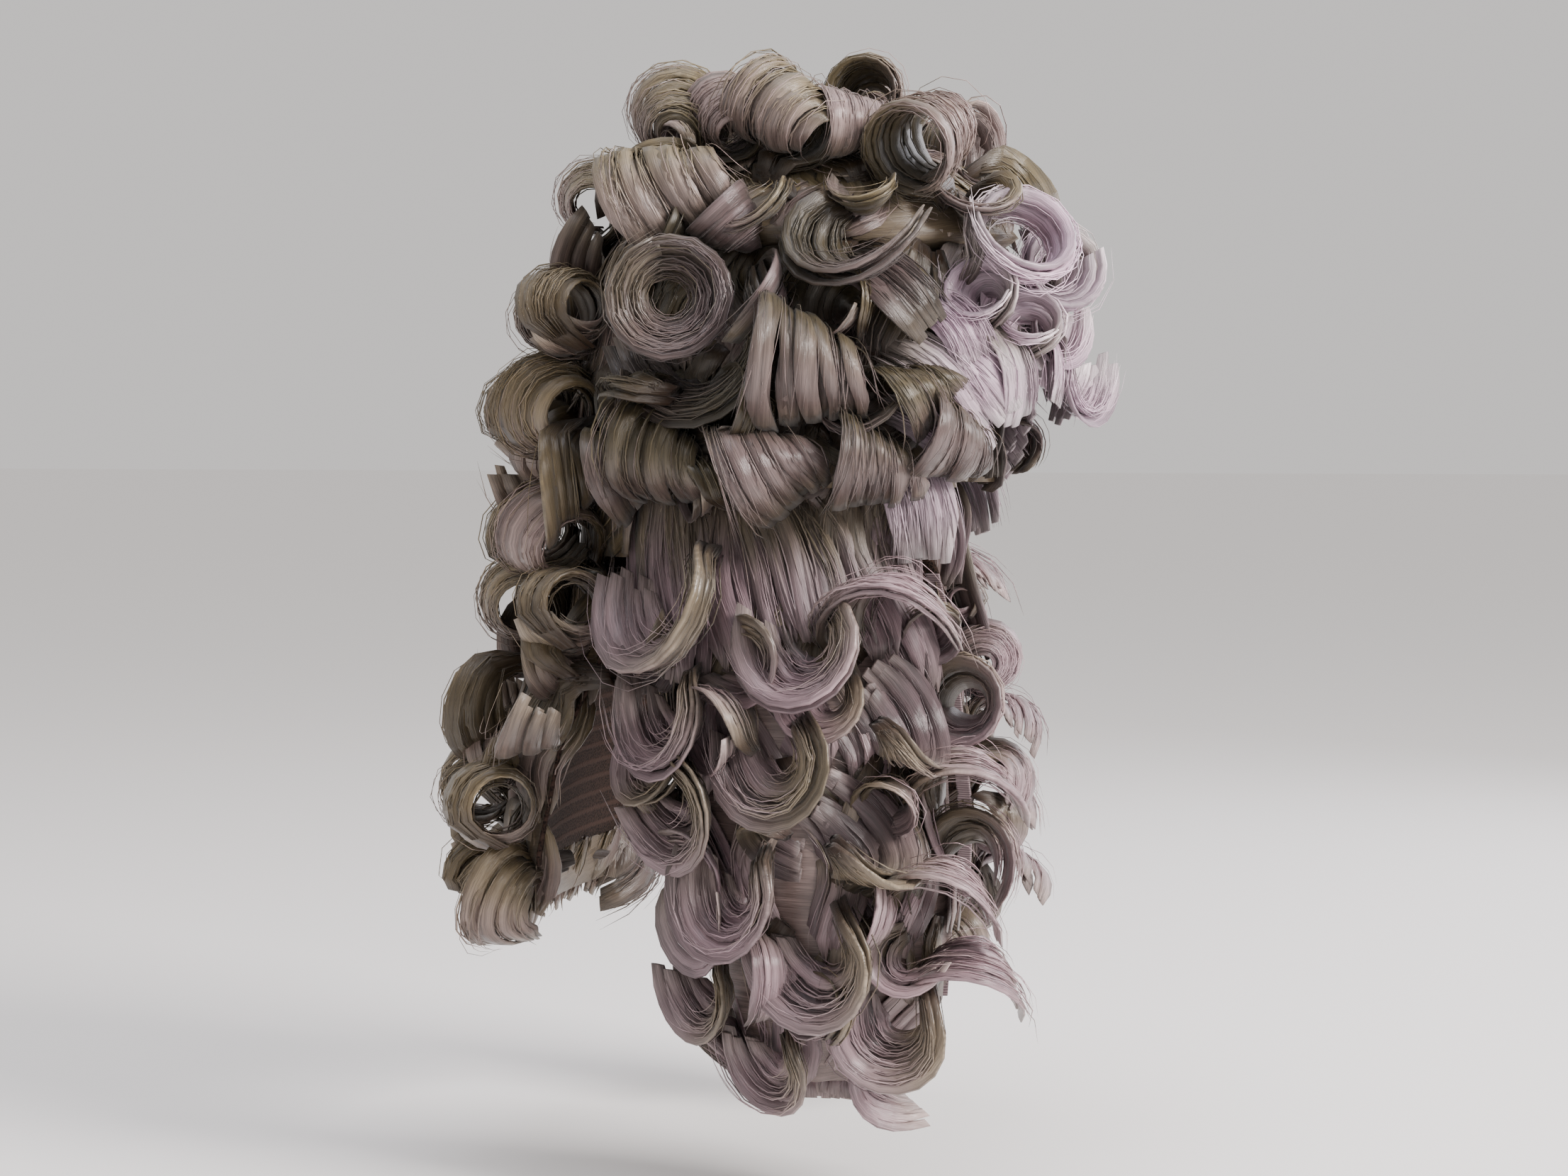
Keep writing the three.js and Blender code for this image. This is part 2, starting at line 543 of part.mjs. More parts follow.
place('cap', COLOURS.net, 0.9, (grow) => dome((bearing) => capLevelsAt(bearing, grow), 0, CAP_WALL, grow));
placePair('lappet_panel', COLOURS.net, 0.9, (grow) => panel(lappetLine, panelDrops, 4, grow), leftLappet);
place('back_panel', COLOURS.net, 0.9, (grow) => panel(curtainLine, backPanelDrops, 6, grow));
place('cap_binding', COLOURS.tape, 0.8, (grow) => (
  foldedTape(steps(-CAP_TAPE_END, CAP_TAPE_END, (2 * CAP_TAPE_END) / COLUMN), capTapePoint, CAP_WALL, grow)));
placePair('lappet_binding', COLOURS.tape, 0.8, (grow) => (
  foldedTape(panelDrops.slice(1), panelTapePoint, PANEL_WALL, grow)), leftLappet);

// Hair on the head
const skin = CAP_WALL + HAIR_GAP;
placePair('side_hair', COLOURS.side, 0.45, (grow) => fuse([
  layer(SIDE_REACH, skin, SIDE_DEPTH, grow),
  ...headCurls(SIDE_CURLS, SIDE_DEPTH, grow)]));
place('fringe_hair', COLOURS.fringe, 0.45, (grow) => fuse([
  layer(FRINGE_REACH, skin + TAPE_WALL + PIECE_GAP, FRINGE_DEPTH, grow),
  ...headCurls(FRINGE_CURLS, FRINGE_DEPTH, grow)]));
placePair('lappet_hair', COLOURS.lappet, 0.45, (grow) => fuse([
  hangingHair(lappetLine, hairDrops, HANGING_SIDES, grow),
  ...LAPPET_CURLS.map((row) => curl(onLappet, 0, row, row.around, row.drop, false, grow))]), leftLappet);
place('crown_hair', COLOURS.crown, 0.45, (grow) => fuse([
  dome(() => [TOP_LEVELS[0], ...seamed(TOP_LEVELS, grow).slice(1)], skin, CROWN_DEPTH, grow),
  ...headCurls(CROWN_CURLS, CROWN_DEPTH, grow)]));
place('back_hair', COLOURS.back, 0.45, (grow) => fuse([
  layer(BACK_REACH, skin, BACK_DEPTH, grow),
  ...headCurls(rowsToCurls(BACK_ROWS, 'bearing', 'level'), BACK_DEPTH, grow)]));
place('curtain_hair', COLOURS.curtain, 0.45, (grow) => fuse([
  hangingHair(curtainLine, curtainHairDrops, HANGING_SIDES, grow),
  ...rowsToCurls(CURTAIN_ROWS, 'around', 'drop').map((row) => (
    curl(onCurtain, 0, row, row.around, row.drop, false, grow)))]));
placePair('straight_hair', COLOURS.straight, 0.45, (grow) => (
  layer(STRAIGHT_REACH, skin, STRAIGHT_DEPTH, grow)));
placePair('cheek_lock', COLOURS.lock, 0.45, (grow) => (
  curl(onHead, CHEEK_LOCK_DEPTH, CHEEK_LOCK, CHEEK_LOCK.bearing, CHEEK_LOCK.level, false, grow)));

export default group;
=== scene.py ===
"""A long full-bottomed powdered wig, dressed over its frame of solids.

The hair is laid in locks. Each lock is a bundle of closed clumps with finer closed strands over
them, wound on the same places as the solids' curls. Lengths are in millimetres in the tables and in
metres in the meshes. The wearer faces -Y, so the wearer's right is -X.
"""

import logging
import math
from dataclasses import dataclass
from enum import Enum
from typing import Callable, Sequence

import bpy
import numpy as np
from mathutils import Matrix, Vector


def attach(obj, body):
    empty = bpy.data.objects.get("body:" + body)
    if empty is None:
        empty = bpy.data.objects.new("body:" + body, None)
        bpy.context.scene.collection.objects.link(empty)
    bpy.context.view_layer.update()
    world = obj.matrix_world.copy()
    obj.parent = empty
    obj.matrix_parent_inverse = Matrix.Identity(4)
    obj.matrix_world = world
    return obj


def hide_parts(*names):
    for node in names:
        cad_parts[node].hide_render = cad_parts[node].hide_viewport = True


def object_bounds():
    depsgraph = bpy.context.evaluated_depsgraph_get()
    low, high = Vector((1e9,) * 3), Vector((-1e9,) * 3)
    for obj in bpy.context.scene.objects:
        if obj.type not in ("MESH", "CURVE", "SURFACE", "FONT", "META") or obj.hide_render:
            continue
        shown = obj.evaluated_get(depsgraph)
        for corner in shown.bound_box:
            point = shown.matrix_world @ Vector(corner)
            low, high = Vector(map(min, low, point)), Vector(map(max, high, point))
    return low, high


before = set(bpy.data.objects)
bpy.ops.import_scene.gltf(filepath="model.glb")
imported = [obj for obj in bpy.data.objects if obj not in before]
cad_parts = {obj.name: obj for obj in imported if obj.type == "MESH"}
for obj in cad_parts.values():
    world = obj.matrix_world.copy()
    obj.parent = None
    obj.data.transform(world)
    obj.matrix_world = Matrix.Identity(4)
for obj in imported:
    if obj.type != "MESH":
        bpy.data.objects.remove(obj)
CAD_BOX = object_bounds()

Array = np.ndarray
Material = bpy.types.Material
Object = bpy.types.Object
Socket = bpy.types.NodeSocket
Shape = Callable[[Array], Array]

LOG = logging.getLogger("wig")
MM = 0.001
IMAGE_WIDTH = 2212
IMAGE_HEIGHT = 1659
# One unit of the UV maps, in millimetres
UV_MM = 10
# Range of the random phases of waves, in radians
PHASES = (0, 6.28)


# Finishes


def colour(code: str) -> tuple[float, float, float, float]:
    """Turn an sRGB hex colour, with or without a leading hash, to opaque linear light."""
    digits = code.lstrip("#")
    channels = [int(digits[k : k + 2], 16) / 255 for k in (0, 2, 4)]
    linear = [c / 12.92 if c <= 0.04045 else ((c + 0.055) / 1.055) ** 2.4 for c in channels]
    return (*linear, 1.0)


class Shading:
    """A material under construction, with a short way to add each kind of node."""

    def __init__(self, name: str) -> None:
        """Start an empty material."""
        self.material = bpy.data.materials.new(name)
        self.material.use_nodes = True
        self.tree = self.material.node_tree
        self.tree.nodes.clear()

    def add(self, kind: str, settings: dict | None = None, links: dict | None = None) -> bpy.types.Node:
        """Add a node with its settings and links.

        Args:
            kind: Blender's name of the node type, after "ShaderNode".
            settings: Attribute names, or input sockets by name or number, with their values.
            links: Input sockets by name or number, with the output sockets that feed them.

        Returns:
            The new node.
        """
        node = self.tree.nodes.new("ShaderNode" + kind)
        for key, value in (settings or {}).items():
            if isinstance(key, str) and hasattr(node, key):
                setattr(node, key, value)
            else:
                node.inputs[key].default_value = value
        for key, source in (links or {}).items():
            self.tree.links.new(source, node.inputs[key])
        return node

    def mix(self, share: Socket, low: str | Socket, high: str | Socket) -> Socket:
        """Mix two colours, each a hex code or an output, by a share."""
        pair = {6: low, 7: high}
        settings = {key: colour(value) for key, value in pair.items() if isinstance(value, str)}
        links = {key: value for key, value in pair.items() if not isinstance(value, str)}
        return self.add("Mix", {"data_type": "RGBA", **settings}, {0: share, **links}).outputs[2]

    def ranged(self, value: Socket, old: tuple[float, float], new: tuple[float, float]) -> Socket:
        """Map a value from an old range to a new one."""
        settings = {"From Min": old[0], "From Max": old[1], "To Min": new[0], "To Max": new[1]}
        return self.add("MapRange", settings, {"Value": value}).outputs[0]

    def maths(self, operation: str, first: Socket, second: Socket) -> Socket:
        """Do this Math operation with two values."""
        return self.add("Math", {"operation": operation}, {0: first, 1: second}).outputs[0]

    def ramp(self, value: Socket, *stops: tuple[float, str]) -> Socket:
        """Turn a value to a colour between two stops, each a place with a hex code."""
        node = self.add("ValToRGB", links={0: value})
        for element, (place, code) in zip(node.color_ramp.elements, stops):
            element.position = place
            element.color = colour(code)
        return node.outputs[0]

    def bump(self, height: Socket, strength: float, depth_mm: float) -> Socket:
        """Turn a height to a normal."""
        settings = {"Strength": strength, "Distance": depth_mm * MM}
        return self.add("Bump", settings, {"Height": height}).outputs[0]

    def finish(self, settings: dict, links: dict | None = None) -> Material:
        """End the material in a Principled shader with these settings and links, and return it."""
        shader = self.add("BsdfPrincipled", settings, links)
        self.add("OutputMaterial", links={"Surface": shader.outputs[0]})
        return self.material


@dataclass(frozen=True)
class HairFinish:
    """Kanekalon-type synthetic fibre, combed and set in curls.

    Extruded fibre has a satin gloss that runs in bands across a lock, so roughness is low along the
    fibre and high across it. The tint comes from each strand's own colour attribute: red fades to the
    dark root colour, a painted shade where the lock leaves the hair under it; green is lilac, blue is
    khaki and alpha is lightness, which holds painted shade and painted light.
    """

    name: str
    silver: str = "#b0a196"
    khaki: str = "#887a5c"
    lilac: str = "#ae8e9a"
    # Colour that the root fades to: painted shade where a lock leaves the hair under it
    root: str = "#2d1f18"
    roughness: float = 0.29
    streak_mm: float = 0.55

    def build(self) -> Material:
        """Build the material."""
        shading = Shading(self.name)
        strand = shading.add("Attribute", {"attribute_name": "strand"})
        tint = shading.add("SeparateColor", links={0: strand.outputs["Color"]}).outputs
        uv = shading.add("UVMap", {"uv_map": "hair"}).outputs[0]

        def streaks(across: float, along: float, detail: float, roughness: float) -> Socket:
            """Make noise that is drawn out along the lock, with these scales."""
            place = shading.add("Mapping", {"Scale": (across, along, 1)}, {"Vector": uv}).outputs[0]
            settings = {"Scale": 1.0, "Detail": detail, "Roughness": roughness}
            return shading.add("TexNoise", settings, {"Vector": place}).outputs[0]

        # Streaks 40 times as long as they are wide, and broader and longer swells under them. The streaks use
        # the same noise as the bump: painted shade between strands and painted light on their tops, over the
        # strands' own varied tone.
        across = UV_MM / self.streak_mm
        streak = streaks(across, across / 40, 3.0, 0.65)
        swell = streaks(across / 5, across / 60, 1.0, 0.5)
        olive = shading.mix(tint["Blue"], self.silver, self.khaki)
        lilac = shading.mix(tint["Green"], olive, self.lilac)
        # Lightness from the streaks, the swells and each strand's alpha, which carries painted shade and
        # painted light
        light = shading.ranged(streak, (0.3, 0.7), (0.5, 1.4))
        light = shading.maths("MULTIPLY", light, shading.ranged(swell, (0.3, 0.7), (0.68, 1.2)))
        light = shading.maths("MULTIPLY", light, strand.outputs["Alpha"])
        colour_with_painted_shade = shading.add("VectorMath", {"operation": "SCALE"}, {0: lilac, "Scale": light}).outputs[0]
        tangent = shading.add("Tangent", {"direction_type": "UV_MAP", "uv_map": "hair"}).outputs[0]
        return shading.finish(
            {
                "Roughness": self.roughness, "IOR": 1.5, "Anisotropic": 0.72, "Sheen Weight": 0.12,
                "Sheen Roughness": 0.4,
            },
            {
                "Base Color": shading.mix(tint["Red"], self.root, colour_with_painted_shade),
                "Normal": shading.bump(streak, 0.7, 0.6), "Tangent": tangent,
            },
        )


@dataclass(frozen=True)
class NetFinish:
    """Dark power net with machine-sewn wefts: matt, with a fine mesh and a ridge at each weft."""

    name: str = "wefted_power_net"
    thread: str = "#33251f"
    gap: str = "#150f0c"
    weft: str = "#3a2b25"
    weft_mm: float = 9.0
    mesh_mm: float = 1.8

    def build(self) -> Material:
        """Build the material."""
        shading = Shading(self.name)
        place = {"Vector": shading.add("TexCoord").outputs["Object"]}
        cells = {"feature": "DISTANCE_TO_EDGE", "Scale": 1 / (self.mesh_mm * MM)}
        mesh = shading.add("TexVoronoi", cells, place).outputs["Distance"]
        # A Wave texture of scale 0.314 has one band to a unit
        bands = {
            "wave_type": "BANDS", "bands_direction": "Z", "Scale": 0.314 / (self.weft_mm * MM),
            "Distortion": 0.6, "Detail": 2.0, "Detail Scale": 8.0,
        }
        wave = shading.add("TexWave", bands, place).outputs["Fac"]
        ridge = shading.ranged(wave, (0.7, 0.95), (0.0, 1.0))
        holes = shading.ramp(mesh, (0.06, self.thread), (0.2, self.gap))
        return shading.finish(
            {"Roughness": 0.9, "Specular IOR Level": 0.2},
            {
                "Base Color": shading.mix(ridge, holes, self.weft),
                "Normal": shading.bump(shading.maths("SUBTRACT", ridge, mesh), 0.6, 0.8),
            },
        )


@dataclass(frozen=True)
class TapeFinish:
    """Cotton binding tape in mauve grey: matt, with a fine rib across it."""

    name: str = "cotton_binding_tape"
    thread: str = "#8d7a7d"
    groove: str = "#5d4c50"
    rib_mm: float = 1.4

    def build(self) -> Material:
        """Build the material."""
        shading = Shading(self.name)
        uv = shading.add("UVMap", {"uv_map": "hair"}).outputs[0]
        # The same bands as the net's, in units of the UV map
        bands = {
            "wave_type": "BANDS", "bands_direction": "Y", "Scale": 0.314 * UV_MM / self.rib_mm,
            "Distortion": 0.4, "Detail": 1.0,
        }
        rib = shading.add("TexWave", bands, {"Vector": uv}).outputs["Fac"]
        return shading.finish(
            {"Roughness": 0.8, "Sheen Weight": 0.3, "Sheen Roughness": 0.5},
            {
                "Base Color": shading.ramp(rib, (0.1, self.groove), (0.6, self.thread)),
                "Normal": shading.bump(rib, 0.5, 0.4),
            },
        )


@dataclass(frozen=True)
class BackdropFinish:
    """Matt painted board, plain and pale."""

    name: str = "painted_board"
    paint: str = "#f8f6f5"

    def build(self) -> Material:
        """Build the material."""
        return Shading(self.name).finish({"Base Color": colour(self.paint), "Roughness": 0.9})


# Surfaces that carry hair


def unit(vectors: Array) -> Array:
    """Scale vectors to length 1."""
    return vectors / np.maximum(np.linalg.norm(vectors, axis=-1, keepdims=True), 1e-12)


def stack(*columns: Array) -> Array:
    """Join coordinates that have or share one shape into points."""
    return np.stack(np.broadcast_arrays(*columns), axis=-1).astype(float)


class Surface:
    """A surface that carries hair, read by a place across it, a place down it and a height over it."""

    def point(self, across: Array, down: Array, out: Array) -> Array:
        """Give the points at these places, in millimetres."""
        raise NotImplementedError

    def axes(self, across: float, down: float, out: float) -> tuple[Array, ...]:
        """Give the point at one place, and the directions down, sideways and out there."""
        here = self.point(across, down, out)
        low = unit(self.point(across, down + 0.02, out) - self.point(across, down - 0.02, out))
        flank = unit(self.point(across - 1, down, out) - self.point(across + 1, down, out))
        normal = unit(np.cross(flank, low))
        if normal @ (self.point(across, down, out + 1) - here) < 0:
            normal = -normal
        side = unit(np.cross(low, normal))
        if side @ flank < 0:
            side = -side
        return here, low, side, normal


@dataclass(frozen=True)
class Head(Surface):
    """The head that the cap fits: across is a bearing from the face, down is a level."""

    length: float = 200.0
    breadth: float = 158.0
    rise: float = 95.0

    def point(self, across: Array, down: Array, out: Array) -> Array:
        """Give points on a dome down to the widest line, then straight down."""
        down, out = np.asarray(down, float), np.asarray(out, float)
        arc = np.minimum(down, 1) * math.pi / 2
        ring = np.sin(arc)
        z = np.where(down < 1, (self.rise + out) * np.cos(arc) - self.rise, -self.rise * down)
        bearing = np.radians(across)
        x = -(self.breadth / 2 + out) * np.sin(bearing) * ring
        y = -(self.length / 2 + out) * np.cos(bearing) * ring
        return stack(x, y, z)


@dataclass(frozen=True)
class Hanging(Surface):
    """Hair that hangs on a carrying line: across goes round its outside from 0 to 180.

    The sections are rows of drop, then the line's two ends (x, y), its bow and the hair's depth.
    Locks on it turn toward the middle's outward direction, by middle_pull times that direction.
    """

    sections: tuple[tuple[float, ...], ...]
    top: float
    length: float
    middle_pull: float = 1.1

    def line(self, down: Array) -> tuple[Array, ...]:
        """Give the line's first end, last end, bow, depth and height at each drop."""
        table = np.array(self.sections)
        down = np.asarray(down, float)
        x1, y1, x2, y2, bow, depth = (np.interp(down, table[:, 0], column) for column in table[:, 1:].T)
        return stack(x1, y1), stack(x2, y2), bow, depth, self.top - self.length * down

    def on_line(self, share: Array, down: Array, out: Array) -> Array:
        """Give points outside the carrying line, at shares of the way along it."""
        first, last, bow, _, z = self.line(down)
        chord = last - first
        outward = unit(np.stack([chord[..., 1], -chord[..., 0]], axis=-1))
        outward = outward * np.sign(np.sum(outward * (first + last), axis=-1, keepdims=True))
        share = np.asarray(share, float)
        flat = first + chord * share[..., None] + outward * (bow * np.sin(math.pi * share) + out)[..., None]
        return stack(flat[..., 0], flat[..., 1], z)

    def point(self, across: Array, down: Array, out: Array) -> Array:
        """Give points on the round outside of the hair."""
        first, last, _, depth, _ = self.line(down)
        angle = np.radians(across)
        share = (1 - np.cos(angle)) / 2
        points = self.on_line(share + 0 * depth, down, (depth + out) * np.sin(angle))
        points[..., :2] -= unit(last - first) * (np.asarray(out) * np.cos(angle))[..., None]
        return points

    def axes(self, across: float, down: float, out: float) -> tuple[Array, ...]:
        """Give one place and its directions, turned part of the way to the middle's."""
        here, low, side, normal = super().axes(across, down, out)
        normal = unit(normal + self.middle_pull * super().axes(90.0, down, out)[3])
        turned = unit(np.cross(low, normal))
        lowered = unit(np.cross(normal, turned))
        return here, lowered * np.sign(lowered @ low), turned * np.sign(turned @ side), normal


# The wig's own sizes, in millimetres


HEAD = Head()
CAP_WALL = 1.8
PANEL_WALL = 2.0
TAPE_WALL = 1.4
TAPE_WIDTH = 9.0
GAP = 0.4
SKIN = CAP_WALL + 1.3
# Levels where the lappets and the curtain start
LAPPET_TOP = 1.92
CURTAIN_TOP = 1.62
# How low the cap reaches: bearing from the face, level
CAP_EDGE = np.array([(0, 0.8), (34, 0.86), (50, 1.1), (60, 1.92), (112, 1.92), (140, 1.62), (180, 1.62)]).T


def lappet_surface() -> Hanging:
    """Give the wearer's right lappet as a surface."""
    length, width, depth, offset = 262, 142, 46, 66
    # Drop, width, fore, inner, splay, bow, depth: shares of the lappet's sizes
    shares = (
        (0.0, 0.62, 0.045, 1.04, 0.035, 0.2, 0.4),
        (0.08, 0.8, 0.035, 0.98, 0.07, 0.17, 0.75),
        (0.2, 0.94, 0.03, 0.94, 0.13, 0.12, 0.96),
        (0.42, 0.96, 0.07, 0.95, 0.17, 0.1, 1.0),
        (0.66, 0.86, 0.155, 1.05, 0.17, 0.08, 0.96),
        (0.85, 0.8, 0.165, 1.1, 0.14, 0.08, 0.86),
        (1.0, 0.45, 0.12, 1.2, 0.08, 0.08, 0.45),
    )
    rows = []
    for drop, wide, fore, inner, splay, bow, deep in shares:
        first = -offset * inner
        middle = -width * fore
        half = width * wide / 2
        ends = (first, middle - half, first - width * splay, middle + half)
        rows.append((drop, *ends, depth * bow, depth * deep))
    return Hanging(tuple(rows), -HEAD.rise * LAPPET_TOP - GAP, length)


def curtain_surface() -> Hanging:
    """Give the back curtain as a surface."""
    length, width, depth, offset = 216, 180, 30, 92
    # Drop, width, inner, bow, depth: shares of the curtain's sizes
    shares = (
        (0.0, 0.58, 0.84, 0.8, 0.9),
        (0.2, 0.78, 0.89, 0.73, 1.0),
        (0.35, 0.94, 1.0, 0.6, 1.0),
        (0.6, 1.02, 1.26, 0.4, 0.95),
        (0.85, 1.0, 1.39, 0.27, 0.85),
        (1.0, 0.82, 1.45, 0.2, 0.5),
    )
    rows = []
    for drop, wide, inner, bow, deep in shares:
        half = width * wide / 2
        rows.append((drop, -half, offset * inner, half, offset * inner, depth * bow, depth * deep))
    return Hanging(tuple(rows), -HEAD.rise * CURTAIN_TOP - GAP, length)


LAPPET = lappet_surface()
CURTAIN = curtain_surface()


class Hand(Enum):
    """A side of the wig, by its lappet's scale against the right one's."""

    right = (1.0, 1.0, 1.0)
    left = (-1.0, 0.86, 0.87)

    def side(self, points: Array) -> Array:
        """Take points of the right side to this side."""
        return points * np.array([self.value[0], 1.0, 1.0])

    def lappet(self, points: Array) -> Array:
        """Take points of the right lappet to this side's lappet."""
        top = np.array([0.0, 0.0, -HEAD.rise * LAPPET_TOP])
        return (points - top) * np.array(self.value) + top


# Locks


@dataclass(frozen=True)
class Winding:
    """How one kind of curl is wound. Angles are in degrees.

    start is where the lock leaves the hair under it, as a clock angle with 0 up and 90 toward the
    face; sweep is how far it winds; lean turns its axis from straight out (0) to lying along the hair
    (90); lift is how far out its centre stands, in radii; cone splays it like a funnel; close winds
    it inward; root and tip are shares of its width; drift is how far it travels along its axis, in
    millimetres; flare opens its tip again, in shares of its radius.
    """

    radius: float
    width: float
    thick: float
    start: float
    sweep: float
    lean: float
    lift: float
    cone: float
    close: float
    root: float
    tip: float
    drift: float
    flare: float


class Curl(Enum):
    """The kinds of curl on the wig."""

    ROLL = Winding(28, 54, 9, -120, 350, 84, 0.8, 14, 0.34, 0.62, 0.95, 8, 0.15)
    TUNNEL = Winding(29, 19, 12, -100, 400, 20, 0.85, 36, 0.08, 0.8, 1.0, 9, 0.3)
    EYE = Winding(29, 22, 12, -100, 430, -24, 0.85, 50, 0.06, 0.8, 0.9, 3, 0.15)
    RING = Winding(22, 26, 8, -115, 370, 52, 0.74, 30, 0.26, 0.7, 0.9, 6, 0.2)
    FAN = Winding(20, 44, 8, -60, 240, 82, 0.62, 16, 0.1, 0.5, 1.2, -16, 0.35)
    HOOK = Winding(22, 26, 9, -50, -235, 26, 0.66, 46, 0.08, 0.6, 1.1, 0, 0.45)
    CRADLE = Winding(42, 21, 9, -30, -215, 6, 0.2, 58, 0.02, 0.6, 1.15, 0, 0.25)
    COIL = Winding(21, 25, 7, -110, 350, 82, 0.78, 18, 0.28, 0.7, 0.9, 5, 0.2)
    CUP = Winding(20, 32, 8, -70, 235, 58, 0.64, 34, 0.08, 0.55, 1.15, -8, 0.45)
    LOCK = Winding(34, 25, 6, -4, 116, 80, -0.45, 0, 0.05, 0.75, 1.1, 0, 0.1)


@dataclass(frozen=True)
class Lock:
    """One curl of a table: its kind, place, size, turn in degrees and hand."""

    kind: Curl
    across: float
    down: float
    size: float
    turn: float
    hand: int = 1


@dataclass
class Path:
    """The run of a lock: its middle, its directions and half sizes in millimetres, evenly spaced.

    rise is how far it stands clear of the hair under it, from 0 to 1; it sets the painted shade near that
    hair.
    """

    centre: Array
    wide: Array
    thin: Array
    half_width: Array
    half_thick: Array
    rise: Array

    def at(self, share: Array) -> list[Array]:
        """Read the run at shares of its length.

        Args:
            share: Shares from 0 at the root to 1 at the tip, in any shape.

        Returns:
            Middle, sideways and outward directions, half width, half thickness, rise and length so far.
        """
        spot = np.clip(share, 0, 1) * (len(self.centre) - 1)
        low = np.minimum(spot.astype(int), len(self.centre) - 2)
        part = spot - low
        gaps = np.linalg.norm(np.diff(self.centre, axis=0), axis=1)
        run = np.concatenate([[0.0], np.cumsum(gaps)])
        read = []
        for column in (self.centre, self.wide, self.thin, self.half_width, self.half_thick, self.rise, run):
            ahead = part[..., None] if column.ndim == 2 else part
            read.append(column[low] * (1 - ahead) + column[low + 1] * ahead)
        return read


@dataclass(frozen=True)
class Tint:
    """Where a piece of the wig stands between silver, khaki and lilac, and how light it is: painted light and
    shade, lighter where the window light falls and darker in shade.
    """

    lilac: float
    khaki: float
    light: float


STEM_STATIONS = 8
CURL_STATIONS = 56
# A lock that is splayed further than this shows its inner side, in degrees
SPLAYED = 40
# Share of a curl where its tip begins to open
FLARES_AT = 0.72
# Share of a curl where it is at its full width
WIDE_AT = 0.4
# Half thickness of a combed lock in millimetres, and how far it stands clear, which sets its painted shade
COMBED_THICK = 3.2
COMBED_RISE = 0.62


def curl_path(surface: Surface, depth: float, lock: Lock, stray: Sequence[float]) -> Path:
    """Wind one curl.

    Args:
        surface: Surface that carries it.
        depth: Depth of the hair under it.
        lock: Its kind and place.
        stray: How far its turn, sweep and cone stray from its kind's, in degrees.

    Returns:
        The run of the lock, with a short stem that goes down into the hair.
    """
    kind = lock.kind.value
    radius = kind.radius * lock.size
    here, low, side, normal = surface.axes(lock.across, lock.down, depth + kind.lift * radius)
    turn, lean, cone = np.radians([lock.turn + stray[0], kind.lean, kind.cone + stray[2]])
    up = -low * np.cos(turn) + side * np.sin(turn)
    flank = side * np.cos(turn) + low * np.sin(turn)
    reach = flank * np.cos(lean) + normal * np.sin(lean)
    axle = normal * np.cos(lean) - flank * np.sin(lean)
    share = np.linspace(0, 1, CURL_STATIONS)
    sweep = kind.sweep + math.copysign(stray[1], kind.sweep)
    angle = np.radians(kind.start + sweep * share) * lock.hand
    radial = np.outer(np.sin(angle), reach) + np.outer(np.cos(angle), up)
    opened = kind.flare * np.clip((share - FLARES_AT) / (1 - FLARES_AT), 0, 1) ** 2
    arm = radius * (1 - kind.close * share + opened) - kind.thick * lock.size / 2
    centre = here + radial * arm[:, None] + np.outer(kind.drift * lock.size * (share - WIDE_AT), axle)
    wide = axle * np.cos(cone) + radial * np.sin(cone)
    thin = radial * np.cos(cone) - axle * np.sin(cone)
    if kind.cone > SPLAYED:
        wide, thin = -wide, -thin
    swell = np.where(
        share < WIDE_AT,
        kind.root + (1 - kind.root) * np.sin(share / WIDE_AT * math.pi / 2),
        1 + (kind.tip - 1) * (share - WIDE_AT) / (1 - WIDE_AT),
    )
    half_width = kind.width * lock.size * swell / 2
    half_thick = kind.thick * lock.size / 2 * (1 - 0.3 * share)
    rise = np.clip(0.2 + 0.62 * ((centre - here) @ normal / radius + kind.lift), 0, 1)
    back = np.arange(STEM_STATIONS, 0, -1)[:, None] / STEM_STATIONS
    stem = centre[0] - unit(centre[1] - centre[0]) * radius * 0.55 * back - normal * radius * 0.85 * back**2
    ones = np.ones(STEM_STATIONS)
    return Path(
        np.vstack([stem, centre]),
        np.vstack([np.outer(ones, wide[0]), wide]),
        np.vstack([np.outer(ones, thin[0]), thin]),
        np.concatenate([half_width[0] * (1 - 0.3 * back[:, 0]), half_width]),
        np.concatenate([half_thick[0] * ones, half_thick]),
        np.concatenate([0.7 * rise[0] * ones, rise]),
    )


def laid_path(centre: Array, normal: Array, width: float) -> Path:
    """Lay a flat lock of this width along a line of points with outward normals."""
    share = np.linspace(0, 1, len(centre))
    ahead = unit(np.gradient(centre, axis=0))
    wide = unit(np.cross(ahead, unit(normal)))
    thin = unit(np.cross(wide, ahead))
    half_width = width / 2 * (0.7 + 0.3 * np.sin(math.pi * share))
    ones = np.ones(len(share))
    return Path(centre, wide, thin, half_width, COMBED_THICK * ones, COMBED_RISE * ones)


def combed_path(
    surface: Surface, start: Sequence[float], end: Sequence[float], width: float, sway: float, phase: float
) -> Path:
    """Comb one lock over a surface.

    Args:
        surface: Surface that carries it.
        start: Where it starts: across, down and over the surface.
        end: Where it ends.
        width: Its width in millimetres.
        sway: How far it waves to each side, in the surface's own units across.
        phase: Where its wave starts, in radians.

    Returns:
        The run of the lock.
    """
    share = np.linspace(0, 1, 24)
    wave = 2 * math.pi * 1.1 * share + phase
    across, down, height = (low + (high - low) * share for low, high in zip(start, end))
    across = across + sway * np.sin(wave)
    height = height + 2.0 * np.cos(wave)
    centre = surface.point(across, down, height)
    return laid_path(centre, surface.point(across, down, height + 1) - centre, width)


